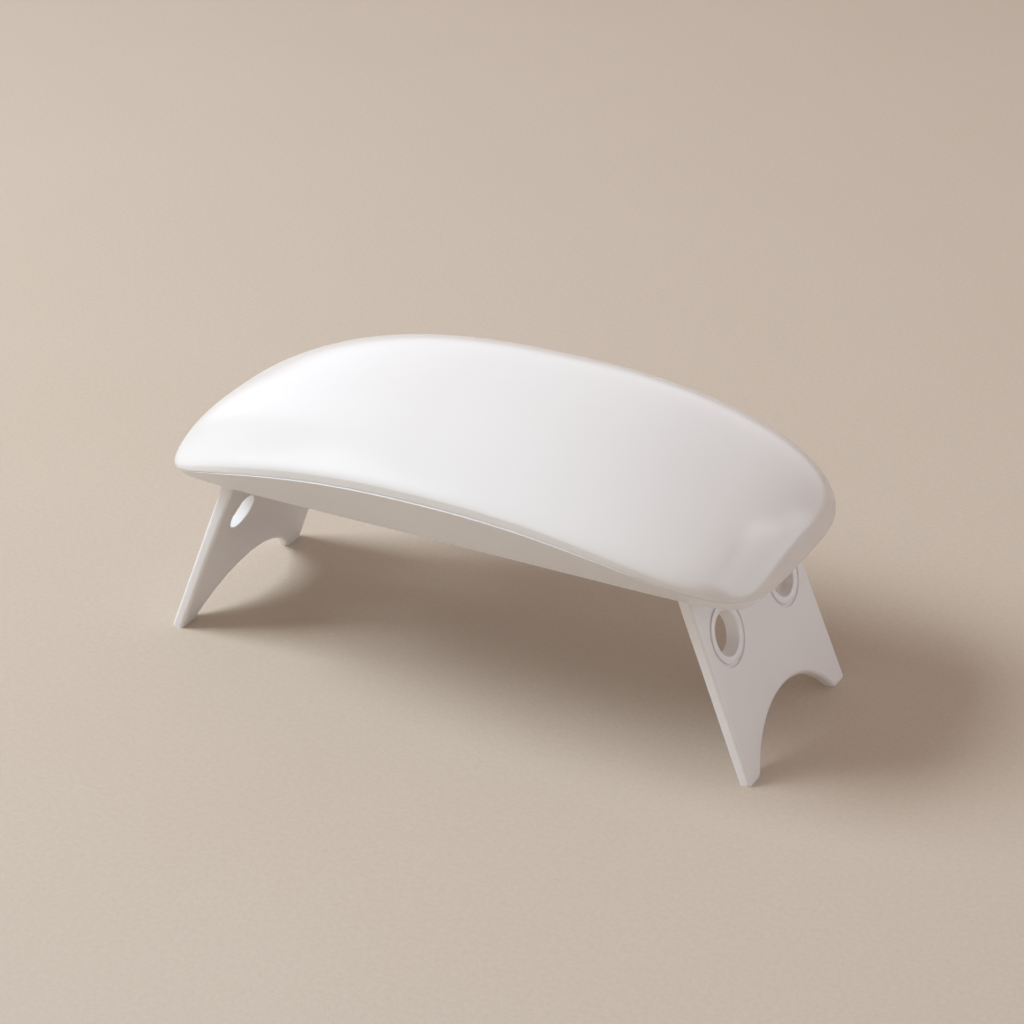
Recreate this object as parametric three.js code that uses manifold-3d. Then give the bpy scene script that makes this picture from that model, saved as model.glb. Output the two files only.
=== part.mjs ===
import * as THREE from 'three';
import { mergeVertices } from 'three/addons/utils/BufferGeometryUtils.js';
import Module from 'manifold-3d';

// A pocket ultraviolet lamp for curing nail polish, standing on two folding legs, in millimetres.
// +X runs along the lamp, +Y points to its rear and +Z is up.
// The origin is on the table, midway between the four feet.

const wasm = await Module();
wasm.setup();

// Case: a crowned cover over a lower case, meeting at a seam that arches up at mid length
const coverLength = 134;
const coverWidth = 68.6;
const undersideHeight = 37.9;
const undersideEndInset = 1.2;
const seamEndRise = 0.6;
const seamMidRise = 13;
const seamGap = 0.3;
const rimHeight = 1.3;
const edgeRise = 1.35;
const crownRise = 9.5;
const coverWall = 1.6;
const caseWall = 2.4;
const caseFloor = 1.6;

// Squareness of the two outlines, as superellipse powers, and the roundness of the crown
const coverPower = 4.3;
const undersidePower = 10.7;
const seamPower = 2.35;
const edgePower = 20;
const crownEndPower = 2.7;
const crownEndRoot = 0.35;
const crownSidePower = 2.6;
const lowerEdgeShare = 0.05;

// Lip of the lower case that locates the cover
const lipClearance = 0.3;
const lipThickness = 1.2;
const lipRise = 1;
const lipRoot = 0.8;

// Legs, measured on a leg laid flat
const legSplay = THREE.MathUtils.degToRad(22.1);
const footSpan = 47.2;
const legTopWidth = 44.2;
const legThickness = 2.85;
const legBevel = 0.35;
const footWidth = 4.9;
const footRound = 1.2;
const archRise = 10.4;
const legHoleRadius = 4.4;
const legHoleHeight = 28;
const ringRadius = 5.9;
const ringHeight = 0.5;
const barrelRadius = 2.1;

// Hinges and the recess that takes the folded legs
const hingeInset = 17.5;
const pinRadius = 0.9;
const pinClearance = 0.12;
const pinSeat = 2.2;
const legClearance = 0.3;
const recessClearance = 0.25;
const recessRim = 1;
const deckThickness = 1.6;
const housingWall = 1.5;
const hingeRoof = 1;

// Lamps, in line with the holes of the folded legs, and the reflector plate around them
const middleLampOffset = 9;
const packageSize = 3.5;
const packageHeight = 0.8;
const lensRadius = 1.7;
const lensShank = 0.9;
const lampHoleTopRadius = 2.5;
const lampHoleRadius = 3.2;
const reflectorThickness = 0.5;
const reflectorCorner = 3;
const reflectorSeat = 0.7;
const reflectorClearance = 0.2;
const reflectorHingeLand = 4.4;
const reflectorButtonLand = 0.65;
const reflectorRim = 0.6;

// Circuit board
const boardLift = 2.6;
const boardThickness = 1.2;
const boardEndGap = 2.3;
const boardFrontMargin = 1.5;
const boardRear = 21;
const boardTabWidth = 15;
const boardTabInset = 2.4;
const boardTabClearance = 0.3;
const boardCorner = 2;
const solderGap = 0.1;

// Fasteners
const screwRadius = 0.8;
const screwClearance = 0.2;
const screwPilotClearance = 0.1;
const screwHeadRadius = 1.7;
const screwHeadHeight = 1.1;
const driveSlotWidth = 0.5;
const driveSlotLength = 2.2;
const driveSlotDepth = 0.5;
const boardScrewLength = 3.2;
const boardPostRadius = 2;
const boardScrewInset = 3.5;
const caseScrewLength = 7;
const caseScrewInset = 8.6;
const caseScrewY = 13;
const counterboreRadius = 2.1;
const counterboreDepth = 1.5;
const caseBossRadius = 3.2;
const caseBossHeight = 3;
const coverBossRadius = 2.7;
const bossGap = 0.3;

// Power button and its switch
const buttonLength = 7;
const buttonWidth = 4.4;
const buttonInset = 0.6;
const buttonClearance = 0.25;
const buttonTravel = 0.4;
const buttonFlange = 0.7;
const buttonFlangeThickness = 0.5;
const buttonMargin = 0.95;
const switchLength = 6;
const switchWidth = 4;
const switchHeight = 1.3;
const plungerRadius = 1.1;
const plungerClearance = 0.15;
const plungerLength = 1;
const plungerRoom = 0.15;

// Power inlet in the rear wall
const socketWidth = 7.5;
const socketDepth = 5.1;
const socketHeight = 2.5;
const socketWall = 0.3;
const socketInset = 3.2;
const socketClearance = 0.3;
const socketBack = 0.7;
const tongueWidth = 3.6;
const tongueThickness = 0.6;
const tongueReach = 3.4;

// Parts on the board
const chipLength = 4.9;
const chipWidth = 3.9;
const chipHeight = 1.4;
const chipPins = 4;
const pinPitch = 1.27;
const pinWidth = 0.4;
const pinReach = 1.05;
const pinThickness = 0.25;
const timerX = -14;
const timerY = 4;
const driverX = 13;
const driverY = 6;
const inductorSize = 5.8;
const inductorBase = 1;
const inductorHeight = 3;
const inductorX = 23;
const inductorY = 8;
const canRadius = 2.5;
const canHeight = 5.4;
const canBaseSize = 5.4;
const canBaseHeight = 0.8;
const canX = -6;
const canY = 13;
const diodeLength = 4.3;
const diodeWidth = 2.6;
const diodeHeight = 2.1;
const diodeTabLength = 0.5;
const diodeTabWidth = 1.5;
const diodeX = 6.5;
const diodeY = 14;
const resistorLength = 2;
const resistorWidth = 1.25;
const resistorHeight = 0.5;
const resistorOffset = 4.2;
const chipCapacitorLength = 1.6;
const chipCapacitorWidth = 0.8;
const chipCapacitorHeight = 0.8;
const chipCapacitorPitch = 4;
const chipCapacitorY = -6;
const chipCapacitorCount = 4;

// Cuts run this far past the face that they open
const overrun = 2;

// Facets
const outlineSteps = 48;
const outlineEvenness = 0.12;
const crownSteps = 10;
const cavitySteps = 7;
const roundSides = 20;
const smallSides = 10;
const archSegments = 6;
const seamFaceShares = [0.5, 1];

// Levels and places worked out from the sizes above
const underside = undersideHeight;
const undersideLength = coverLength - 2 * undersideEndInset;
const hingeHeight = underside + ringHeight + barrelRadius;
const hingeX = coverLength / 2 - hingeInset;
const legReach = (hingeHeight + barrelRadius * Math.sin(legSplay)) / Math.cos(legSplay);
const foldedFootX = hingeX - legReach;
const recessHalfWidth = footSpan / 2 + legClearance;
const undersideWidth = 2 * (recessHalfWidth + recessRim);
const recessCeiling = underside + ringHeight + legThickness + recessClearance;
const deck = recessCeiling + deckThickness;
const openFaceDrop = hingeHeight - underside + barrelRadius * Math.sin(legSplay);
const openFaceX = hingeX + barrelRadius * Math.cos(legSplay) + openFaceDrop * Math.tan(legSplay);
const recessEnd = openFaceX + legClearance;
const boardUnderside = deck + boardLift;
const boardTop = boardUnderside + boardThickness;
const partSeat = boardTop + solderGap;
const caseBossTop = underside + caseBossHeight;
const screwHeadSeat = underside + counterboreDepth;
const hingeStart = hingeX - barrelRadius - legClearance - housingWall;
const buttonY = buttonMargin + buttonClearance + buttonWidth / 2 - recessHalfWidth;
const reflectorEdge = -buttonY - buttonWidth / 2 - buttonClearance - reflectorButtonLand;
const reflectorWidth = 2 * (reflectorEdge - reflectorClearance);
const reflectorLength = 2 * (hingeX - barrelRadius - legClearance - reflectorHingeLand);
const lampOffset = reflectorWidth / 2 - reflectorRim - lampHoleRadius - reflectorClearance;
const lampSpacing = foldedFootX + legHoleHeight;
const socketMouth = coverWidth / 2 - socketInset;
const boardLength = 2 * (hingeStart - boardEndGap);
const boardFront = switchWidth / 2 + boardFrontMargin - buttonY;
const boardTabReach = socketMouth - boardTabInset;
const boardScrewX = boardLength / 2 - boardScrewInset;
const boardScrewY = boardRear - boardScrewInset;
const caseScrewX = coverLength / 2 - caseScrewInset;
const flangeBottom = deck + solderGap;
const plungerBottom = flangeBottom + buttonFlangeThickness + solderGap;

// Materials
function plastic(color, roughness) {
  return new THREE.MeshStandardMaterial({ color, roughness, metalness: 0 });
}

function metal(color, roughness) {
  return new THREE.MeshStandardMaterial({ color, roughness, metalness: 1 });
}

const coverPlastic = () => plastic(0xebe8e6, 0.28);
const casePlastic = () => plastic(0xe6e1dd, 0.42);
const legPlastic = () => plastic(0xe4dfdc, 0.45);
const boardWhite = () => plastic(0xe9ece6, 0.5);
const clearResin = () => plastic(0xe7e2b8, 0.1);
const blackPlastic = () => plastic(0x1d1d1f, 0.5);
const ceramic = () => plastic(0x9a7b5b, 0.6);
const steel = () => metal(0xb9bcc0, 0.3);
const mirror = () => metal(0xdadcdf, 0.08);
const aluminium = () => metal(0xc6c9cc, 0.35);

// Solids from three.js geometry
function solid(geometry) {
  const bare = geometry.clone();
  bare.deleteAttribute('normal');
  bare.deleteAttribute('uv');
  const merged = mergeVertices(bare);
  return new wasm.Manifold(new wasm.Mesh({
    numProp: 3,
    vertProperties: new Float32Array(merged.attributes.position.array),
    triVerts: new Uint32Array(merged.index.array),
  }));
}

function namedMesh(name, form, material) {
  const data = form.getMesh();
  const geometry = new THREE.BufferGeometry();
  geometry.setAttribute('position', new THREE.BufferAttribute(data.vertProperties, data.numProp));
  geometry.setIndex(new THREE.BufferAttribute(data.triVerts, 1));
  geometry.computeVertexNormals();
  const mesh = new THREE.Mesh(geometry, material);
  mesh.name = name;
  return mesh;
}

function join(forms) {
  return forms.reduce((whole, form) => whole.add(form));
}

function cutAll(form, cutters) {
  return cutters.reduce((left, cutter) => left.subtract(cutter), form);
}

// A box from its lowest to its highest corner
function block(low, high) {
  const size = new THREE.Vector3().subVectors(high, low);
  const middle = new THREE.Vector3().addVectors(low, high).multiplyScalar(0.5);
  return solid(new THREE.BoxGeometry(size.x, size.y, size.z).translate(middle.x, middle.y, middle.z));
}

// A box centred at x and y, standing from one height to another
function standingBlock(length, width, x, y, bottom, top) {
  const low = new THREE.Vector3(x - length / 2, y - width / 2, bottom);
  const high = new THREE.Vector3(x + length / 2, y + width / 2, top);
  return block(low, high);
}

// An upright round, straight or tapered
function upright(bottomRadius, topRadius, x, y, bottom, top, sides = roundSides) {
  const round = new THREE.CylinderGeometry(topRadius, bottomRadius, top - bottom, sides);
  return solid(round.rotateX(Math.PI / 2).translate(x, y, (bottom + top) / 2));
}

function uprightPost(radius, x, y, bottom, top, sides = roundSides) {
  return upright(radius, radius, x, y, bottom, top, sides);
}

// A flat outline raised from one height to another
function raised(shape, bottom, top) {
  const settings = { depth: top - bottom, bevelEnabled: false, curveSegments: archSegments };
  return solid(new THREE.ExtrudeGeometry(shape, settings).translate(0, 0, bottom));
}

// Straight places where a piece repeats on both sides and at both ends
function fourPlaces(x, y) {
  return [[x, y], [-x, y], [-x, -y], [x, -y]];
}

// Outlines: a superellipse sampled a little more closely along its flat sides
function outlinePoint(step, halfLength, halfWidth, power) {
  const even = (2 * Math.PI * step) / outlineSteps;
  const angle = even - outlineEvenness * Math.sin(4 * even);
  const along = Math.sign(Math.cos(angle)) * Math.abs(Math.cos(angle)) ** (2 / power);
  const across = Math.sign(Math.sin(angle)) * Math.abs(Math.sin(angle)) ** (2 / power);
  return new THREE.Vector3(halfLength * along, halfWidth * across, 0);
}

function outlineRing(halfLength, halfWidth, power, heightAt, share = 1) {
  const ring = [];
  for (let step = 0; step < outlineSteps; step += 1) {
    const point = outlinePoint(step, halfLength, halfWidth, power).multiplyScalar(share);
    point.z = heightAt(point.x, point.y);
    ring.push(point);
  }
  return ring;
}

function pole(height) {
  return [new THREE.Vector3(0, 0, height)];
}

// A closed skin over rings of points, from the lowest pole to the highest, or round a closed loop of rings
function ringSkin(rings, loop = false) {
  const points = [];
  const starts = rings.map((ring) => {
    const start = points.length / 3;
    ring.forEach((point) => points.push(point.x, point.y, point.z));
    return start;
  });
  const faces = [];
  const bands = loop ? rings.length : rings.length - 1;
  for (let band = 0; band < bands; band += 1) {
    const next = (band + 1) % rings.length;
    for (let step = 0; step < outlineSteps; step += 1) {
      const after = (step + 1) % outlineSteps;
      const lower = starts[band];
      const upper = starts[next];
      if (rings[band].length === 1) {
        faces.push(lower, upper + after, upper + step);
      } else if (rings[next].length === 1) {
        faces.push(lower + step, lower + after, upper);
      } else {
        faces.push(lower + step, lower + after, upper + after);
        faces.push(lower + step, upper + after, upper + step);
      }
    }
  }
  const geometry = new THREE.BufferGeometry();
  geometry.setAttribute('position', new THREE.Float32BufferAttribute(points, 3));
  geometry.setIndex(faces);
  return solid(geometry);
}

// The seam arches over the length of the case
function seamHeight(x) {
  const along = Math.min(1, Math.abs(x) / (coverLength / 2));
  return underside + seamEndRise + (seamMidRise - seamEndRise) * (1 - along ** seamPower);
}

// The crown falls to nothing at the outline, steeply at the two ends and gently at the sides
function crownAt(x, y, halfLength, halfWidth) {
  const along = Math.min(1, Math.abs(x) / halfLength);
  const halfChord = halfWidth * (1 - along ** coverPower) ** (1 / coverPower);
  const across = halfChord > 0 ? Math.min(1, Math.abs(y) / halfChord) : 0;
  const spine = crownRise * (1 - along ** crownEndPower) ** crownEndRoot;
  return spine * (1 - across ** crownSidePower);
}

// A solid under the crown, inset from the outline all round, its band standing above the seam
function crownedForm(inset, bandHeight, rounding, seamDrop, steps) {
  const halfLength = coverLength / 2 - inset;
  const halfWidth = coverWidth / 2 - inset;
  const seamFace = (x) => seamHeight(x) - seamDrop;
  const band = (x) => seamHeight(x) + bandHeight;
  const ring = (heightAt, share) => outlineRing(halfLength, halfWidth, coverPower, heightAt, share);
  const seamRings = seamFaceShares.map((share) => ring(seamFace, share));
  const rings = [pole(seamFace(0)), ...seamRings, ring(band, 1)];
  for (let step = 1; step < steps; step += 1) {
    const share = Math.cos(((Math.PI / 2) * step) / steps);
    const edge = rounding * Math.sqrt(1 - share ** edgePower);
    const skin = (x, y) => band(x) + edge + crownAt(x, y, halfLength, halfWidth);
    rings.push(ring(skin, share));
  }
  rings.push(pole(band(0) + rounding + crownRise));
  return ringSkin(rings);
}

// The lower case drawn in from the seam to the flat underside
function lowerForm() {
  const top = (x) => seamHeight(x) - seamGap;
  const halfLength = undersideLength / 2;
  const halfWidth = undersideWidth / 2;
  const inset = lowerEdgeShare * (seamMidRise - seamGap);
  const flat = outlineRing(halfLength - inset, halfWidth - inset, undersidePower, () => underside);
  const low = outlineRing(halfLength, halfWidth, undersidePower, () => underside);
  const seam = (share) => outlineRing(coverLength / 2, coverWidth / 2, coverPower, top, share);
  const high = seam(1);
  const edge = low.map((point, step) => point.clone().lerp(high[step], lowerEdgeShare));
  const inner = seamFaceShares.slice(0, -1).map(seam);
  return ringSkin([pole(underside), flat, edge, high, ...inner, pole(top(0))]);
}

function lowerCavity() {
  const floor = underside + caseFloor;
  const top = (x) => seamHeight(x) + overrun;
  const halfLength = coverLength / 2 - caseWall;
  const halfWidth = coverWidth / 2 - caseWall;
  const lowLength = undersideLength / 2 - caseWall;
  const lowWidth = undersideWidth / 2 - caseWall;
  return ringSkin([
    pole(floor),
    outlineRing(lowLength, lowWidth, undersidePower, () => floor),
    outlineRing(halfLength, halfWidth, coverPower, top),
    outlineRing(halfLength, halfWidth, coverPower, () => top(0) + overrun),
    pole(top(0) + overrun),
  ]);
}

function locatingLip() {
  const low = (x) => seamHeight(x) - lipRoot;
  const high = (x) => seamHeight(x) + lipRise;
  const outer = coverWall + lipClearance;
  const inner = outer + lipThickness;
  const ring = (inset, heightAt) => (
    outlineRing(coverLength / 2 - inset, coverWidth / 2 - inset, coverPower, heightAt)
  );
  return ringSkin([ring(outer, low), ring(outer, high), ring(inner, high), ring(inner, low)], true);
}

// A leg's half width at a distance from its hinge
function legHalfWidth(distance) {
  return legTopWidth / 2 + ((footSpan - legTopWidth) / 2) * (distance / legReach);
}

// The recess follows the folded legs, one from each end, and runs straight between their feet
function recessForm() {
  const end = legHalfWidth(hingeX - recessEnd) + legClearance;
  const pockets = [1, -1].map((side) => {
    const shape = new THREE.Shape();
    shape.moveTo(side * recessEnd, -end);
    shape.lineTo(side * recessEnd, end);
    shape.lineTo(side * foldedFootX, recessHalfWidth);
    shape.lineTo(side * (foldedFootX - legClearance), recessHalfWidth);
    shape.lineTo(side * (foldedFootX - legClearance), -recessHalfWidth);
    shape.lineTo(side * foldedFootX, -recessHalfWidth);
    shape.closePath();
    return raised(shape, underside - overrun, recessCeiling);
  });
  const straight = 2 * Math.abs(foldedFootX);
  const middle = standingBlock(straight, 2 * recessHalfWidth, 0, 0, underside - overrun, recessCeiling);
  return join([middle, ...pockets]);
}

// A round laid along Y at a hinge's axis
function hingeRound(radius, halfLength, side) {
  const round = new THREE.CylinderGeometry(radius, radius, 2 * halfLength, roundSides);
  return solid(round.translate(side * hingeX, 0, hingeHeight));
}

function stadium(length, width) {
  const shape = new THREE.Shape();
  const radius = width / 2;
  const straight = length / 2 - radius;
  shape.absarc(straight, buttonY, radius, -Math.PI / 2, Math.PI / 2, false);
  shape.absarc(-straight, buttonY, radius, Math.PI / 2, 1.5 * Math.PI, false);
  shape.closePath();
  return shape;
}

function roundedPlate(length, width, corner) {
  const x = length / 2;
  const y = width / 2;
  const shape = new THREE.Shape();
  shape.absarc(x - corner, y - corner, corner, 0, Math.PI / 2, false);
  shape.absarc(-x + corner, y - corner, corner, Math.PI / 2, Math.PI, false);
  shape.absarc(-x + corner, -y + corner, corner, Math.PI, 1.5 * Math.PI, false);
  shape.absarc(x - corner, -y + corner, corner, 1.5 * Math.PI, 2 * Math.PI, false);
  shape.closePath();
  return shape;
}

const lampPlaces = [...fourPlaces(lampSpacing, lampOffset), [0, middleLampOffset], [0, -middleLampOffset]];
const boardScrewPlaces = fourPlaces(boardScrewX, boardScrewY);
const caseScrewPlaces = fourPlaces(caseScrewX, caseScrewY);

function makeTopCover() {
  const blank = crownedForm(0, rimHeight, edgeRise, 0, crownSteps);
  const cavity = crownedForm(coverWall, rimHeight + edgeRise - coverWall, 0, overrun, cavitySteps);
  const core = crownedForm(coverWall / 2, rimHeight, edgeRise, overrun, cavitySteps);
  const crownTop = seamHeight(0) + rimHeight + edgeRise + crownRise;
  const bossBottom = caseBossTop + bossGap;
  const bosses = caseScrewPlaces.map(([x, y]) => (
    uprightPost(coverBossRadius, x, y, bossBottom, crownTop, smallSides).intersect(core)
  ));
  const pilotTop = screwHeadSeat + caseScrewLength + screwClearance;
  const pilots = caseScrewPlaces.map(([x, y]) => (
    uprightPost(screwRadius + screwPilotClearance, x, y, bossBottom - overrun, pilotTop, smallSides)
  ));
  return namedMesh('top_cover', cutAll(join([blank.subtract(cavity), ...bosses]), pilots), coverPlastic());
}

function makeBaseCase() {
  const outside = lowerForm();
  const housingEnd = recessEnd + housingWall;
  const housingHalf = recessHalfWidth + housingWall;
  const housing = standingBlock(2 * housingEnd, 2 * housingHalf, 0, 0, underside, deck);
  const hingeTop = hingeHeight + barrelRadius + legClearance + hingeRoof;
  const hingeLength = housingEnd - hingeStart;
  const hingeHousings = [1, -1].map((side) => {
    const middle = side * (hingeStart + hingeLength / 2);
    return standingBlock(hingeLength, 2 * housingHalf, middle, 0, underside, hingeTop);
  });
  const inside = join([housing, ...hingeHousings]).intersect(outside);
  const bosses = caseScrewPlaces.map(([x, y]) => (
    uprightPost(caseBossRadius, x, y, underside + caseFloor / 2, caseBossTop, smallSides)
  ));
  const posts = boardScrewPlaces.map(([x, y]) => (
    uprightPost(boardPostRadius, x, y, deck - deckThickness / 2, boardUnderside - solderGap, smallSides)
  ));
  const body = join([outside.subtract(lowerCavity()), inside, locatingLip(), ...bosses, ...posts]);
  const barrelHalf = legTopWidth / 2 + legClearance;
  const pinHalf = legTopWidth / 2 + legClearance + pinSeat + pinClearance;
  const hingeCuts = [1, -1].flatMap((side) => [
    hingeRound(barrelRadius + legClearance, barrelHalf, side),
    hingeRound(pinRadius + pinClearance, pinHalf, side),
  ]);
  const plateCut = standingBlock(
    reflectorLength + 2 * reflectorClearance,
    reflectorWidth + 2 * reflectorClearance,
    0,
    0,
    recessCeiling - overrun,
    recessCeiling + reflectorSeat,
  );
  const lampCuts = lampPlaces.map(([x, y]) => (
    upright(lampHoleRadius, lampHoleTopRadius, x, y, recessCeiling, deck + solderGap)
  ));
  const pilotBottom = boardTop - boardScrewLength - screwClearance;
  const boardPilots = boardScrewPlaces.map(([x, y]) => (
    uprightPost(screwRadius + screwPilotClearance, x, y, pilotBottom, boardTop, smallSides)
  ));
  const caseHoles = caseScrewPlaces.flatMap(([x, y]) => [
    uprightPost(counterboreRadius, x, y, underside - overrun, screwHeadSeat),
    uprightPost(screwRadius + screwClearance, x, y, underside, caseBossTop + overrun, smallSides),
  ]);
  const buttonHole = raised(
    stadium(buttonLength + 2 * buttonClearance, buttonWidth + 2 * buttonClearance),
    recessCeiling - overrun,
    deck + overrun,
  );
  const holeHalf = socketWidth / 2 + socketClearance;
  const holeTop = partSeat + socketHeight + socketClearance;
  const socketHole = block(
    new THREE.Vector3(-holeHalf, socketMouth - socketDepth, partSeat - socketClearance),
    new THREE.Vector3(holeHalf, coverWidth / 2 + overrun, holeTop),
  );
  const notchHalf = boardTabWidth / 2 + boardTabClearance;
  const tabNotch = block(
    new THREE.Vector3(-notchHalf, boardRear, boardUnderside - boardTabClearance),
    new THREE.Vector3(notchHalf, boardTabReach + boardTabClearance, partSeat),
  );
  const roundCuts = [...hingeCuts, ...lampCuts, ...boardPilots, ...caseHoles];
  const cuts = [recessForm(), plateCut, buttonHole, socketHole, tabNotch, ...roundCuts];
  return namedMesh('base_case', cutAll(body, cuts), casePlastic());
}

// Outline of a leg laid flat: x across, y from the hinge to the feet
function legOutline() {
  const half = footSpan / 2;
  const archHalf = half - footWidth;
  const archRadius = (archHalf ** 2 + archRise ** 2) / (2 * archRise);
  const archCentre = legReach + archRadius - archRise;
  const springing = legReach - footRound;
  const springHalf = Math.sqrt(archRadius ** 2 - (archCentre - springing) ** 2);
  const tilt = Math.atan2(archCentre - springing, springHalf);
  const shape = new THREE.Shape();
  shape.moveTo(-legTopWidth / 2, 0);
  shape.lineTo(-legHalfWidth(springing), springing);
  shape.quadraticCurveTo(-half, legReach, -half + footRound, legReach);
  shape.lineTo(-archHalf - footRound, legReach);
  shape.quadraticCurveTo(-archHalf, legReach, -springHalf, springing);
  shape.absarc(0, archCentre, archRadius, Math.PI + tilt, 2 * Math.PI - tilt, false);
  shape.quadraticCurveTo(archHalf, legReach, archHalf + footRound, legReach);
  shape.lineTo(half - footRound, legReach);
  shape.quadraticCurveTo(half, legReach, legHalfWidth(springing), springing);
  shape.lineTo(legTopWidth / 2, 0);
  shape.closePath();
  return shape;
}

// Turns geometry laid on a leg's outer face, its depth running inwards, to the open leg about its hinge
function ontoLeg(geometry) {
  const across = new THREE.Vector3(0, 1, 0);
  const down = new THREE.Vector3(Math.sin(legSplay), 0, -Math.cos(legSplay));
  const inward = new THREE.Vector3().crossVectors(across, down);
  const turn = new THREE.Matrix4().makeBasis(across, down, inward);
  const toFace = inward.clone().multiplyScalar(-barrelRadius);
  return solid(geometry.applyMatrix4(turn).translate(toFace.x, toFace.y, toFace.z));
}

function legRound(radius, side, start, depth) {
  const round = new THREE.CylinderGeometry(radius, radius, depth, roundSides).rotateX(Math.PI / 2);
  return ontoLeg(round.translate(side * lampOffset, legReach - legHoleHeight, start + depth / 2));
}

function makeLeg(name) {
  const plate = ontoLeg(new THREE.ExtrudeGeometry(legOutline(), {
    depth: legThickness - 2 * legBevel,
    bevelThickness: legBevel,
    bevelSize: legBevel,
    bevelOffset: -legBevel,
    bevelSegments: 1,
    curveSegments: archSegments,
  }).translate(0, 0, legBevel));
  const barrel = solid(new THREE.CylinderGeometry(barrelRadius, barrelRadius, legTopWidth, roundSides));
  const rings = [1, -1].map((side) => legRound(ringRadius, side, -ringHeight, ringHeight + legBevel));
  const holes = [1, -1].map((side) => (
    legRound(legHoleRadius, side, -ringHeight - overrun, legThickness + ringHeight + 2 * overrun)
  ));
  const bore = solid(new THREE.CylinderGeometry(
    pinRadius + pinClearance,
    pinRadius + pinClearance,
    legTopWidth + 2 * overrun,
    roundSides,
  ));
  const reach = legReach + overrun;
  const table = block(
    new THREE.Vector3(-reach, -footSpan, -hingeHeight - reach),
    new THREE.Vector3(reach, footSpan, -hingeHeight),
  );
  return namedMesh(name, cutAll(join([plate, barrel, ...rings]), [...holes, bore, table]), legPlastic());
}

function makeHingePin(name, side) {
  const length = legTopWidth + 2 * (legClearance + pinSeat);
  const mesh = namedMesh(
    name,
    solid(new THREE.CylinderGeometry(pinRadius, pinRadius, length, roundSides)),
    steel(),
  );
  mesh.position.set(side * hingeX, 0, hingeHeight);
  return mesh;
}

function makeReflectorPlate() {
  const top = recessCeiling + reflectorSeat - solderGap;
  const outline = roundedPlate(reflectorLength, reflectorWidth, reflectorCorner);
  const plate = raised(outline, top - reflectorThickness, top);
  const holes = lampPlaces.map(([x, y]) => (
    uprightPost(lampHoleRadius + reflectorClearance, x, y, recessCeiling - overrun, deck)
  ));
  return namedMesh('reflector_plate', cutAll(plate, holes), mirror());
}

function makeCircuitBoard() {
  const half = boardLength / 2;
  const tab = boardTabWidth / 2;
  const corner = boardCorner;
  const shape = new THREE.Shape();
  shape.moveTo(-half + corner, -boardFront);
  shape.lineTo(half - corner, -boardFront);
  shape.quadraticCurveTo(half, -boardFront, half, -boardFront + corner);
  shape.lineTo(half, boardRear - corner);
  shape.quadraticCurveTo(half, boardRear, half - corner, boardRear);
  shape.lineTo(tab, boardRear);
  shape.lineTo(tab, boardTabReach);
  shape.lineTo(-tab, boardTabReach);
  shape.lineTo(-tab, boardRear);
  shape.lineTo(-half + corner, boardRear);
  shape.quadraticCurveTo(-half, boardRear, -half, boardRear - corner);
  shape.lineTo(-half, -boardFront + corner);
  shape.quadraticCurveTo(-half, -boardFront, -half + corner, -boardFront);
  const holes = boardScrewPlaces.map(([x, y]) => (
    uprightPost(screwRadius + screwClearance, x, y, boardUnderside - overrun, boardTop + overrun, smallSides)
  ));
  const board = raised(shape, boardUnderside, boardTop);
  return namedMesh('circuit_board', cutAll(board, holes), boardWhite());
}

// An LED hangs under the board: a square package and a dome lens pointing down
function makeLamp(name, x, y) {
  const top = boardUnderside - solderGap;
  const body = standingBlock(packageSize, packageSize, x, y, top - packageHeight, top);
  const shankBottom = top - packageHeight - lensShank;
  const profile = [new THREE.Vector2(0, shankBottom - lensRadius)];
  for (let step = 1; step <= archSegments; step += 1) {
    const angle = ((Math.PI / 2) * step) / archSegments;
    const drop = lensRadius * Math.cos(angle);
    profile.push(new THREE.Vector2(lensRadius * Math.sin(angle), shankBottom - drop));
  }
  profile.push(new THREE.Vector2(lensRadius, top - packageHeight / 2));
  profile.push(new THREE.Vector2(0, top - packageHeight / 2));
  const dome = solid(new THREE.LatheGeometry(profile, smallSides).rotateX(Math.PI / 2).translate(x, y, 0));
  return namedMesh(name, body.add(dome), clearResin());
}

function makePowerButton() {
  const top = flangeBottom + buttonFlangeThickness;
  const cap = raised(stadium(buttonLength, buttonWidth), underside + buttonInset, top);
  const flangeOutline = stadium(buttonLength + 2 * buttonFlange, buttonWidth + 2 * buttonFlange);
  const flange = raised(flangeOutline, flangeBottom, top);
  return namedMesh('power_button', cap.add(flange), coverPlastic());
}

function makeTactSwitch() {
  const top = boardUnderside - solderGap;
  const body = standingBlock(switchLength, switchWidth, 0, buttonY, top - switchHeight, top);
  const wellTop = plungerBottom + plungerLength + buttonTravel + plungerRoom;
  const well = uprightPost(plungerRadius + plungerClearance, 0, buttonY, plungerBottom - overrun, wellTop);
  return namedMesh('tact_switch', body.subtract(well), blackPlastic());
}

function makeSwitchPlunger() {
  const plunger = uprightPost(plungerRadius, 0, buttonY, plungerBottom, plungerBottom + plungerLength);
  return namedMesh('switch_plunger', plunger, blackPlastic());
}

function makeUsbSocket() {
  const bottom = partSeat;
  const top = bottom + socketHeight;
  const half = socketWidth / 2;
  const back = socketMouth - socketDepth;
  const shell = block(new THREE.Vector3(-half, back, bottom), new THREE.Vector3(half, socketMouth, top));
  const hollow = block(
    new THREE.Vector3(-half + socketWall, back + socketBack, bottom + socketWall),
    new THREE.Vector3(half - socketWall, socketMouth + overrun, top - socketWall),
  );
  return namedMesh('usb_socket', shell.subtract(hollow), steel());
}

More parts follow.
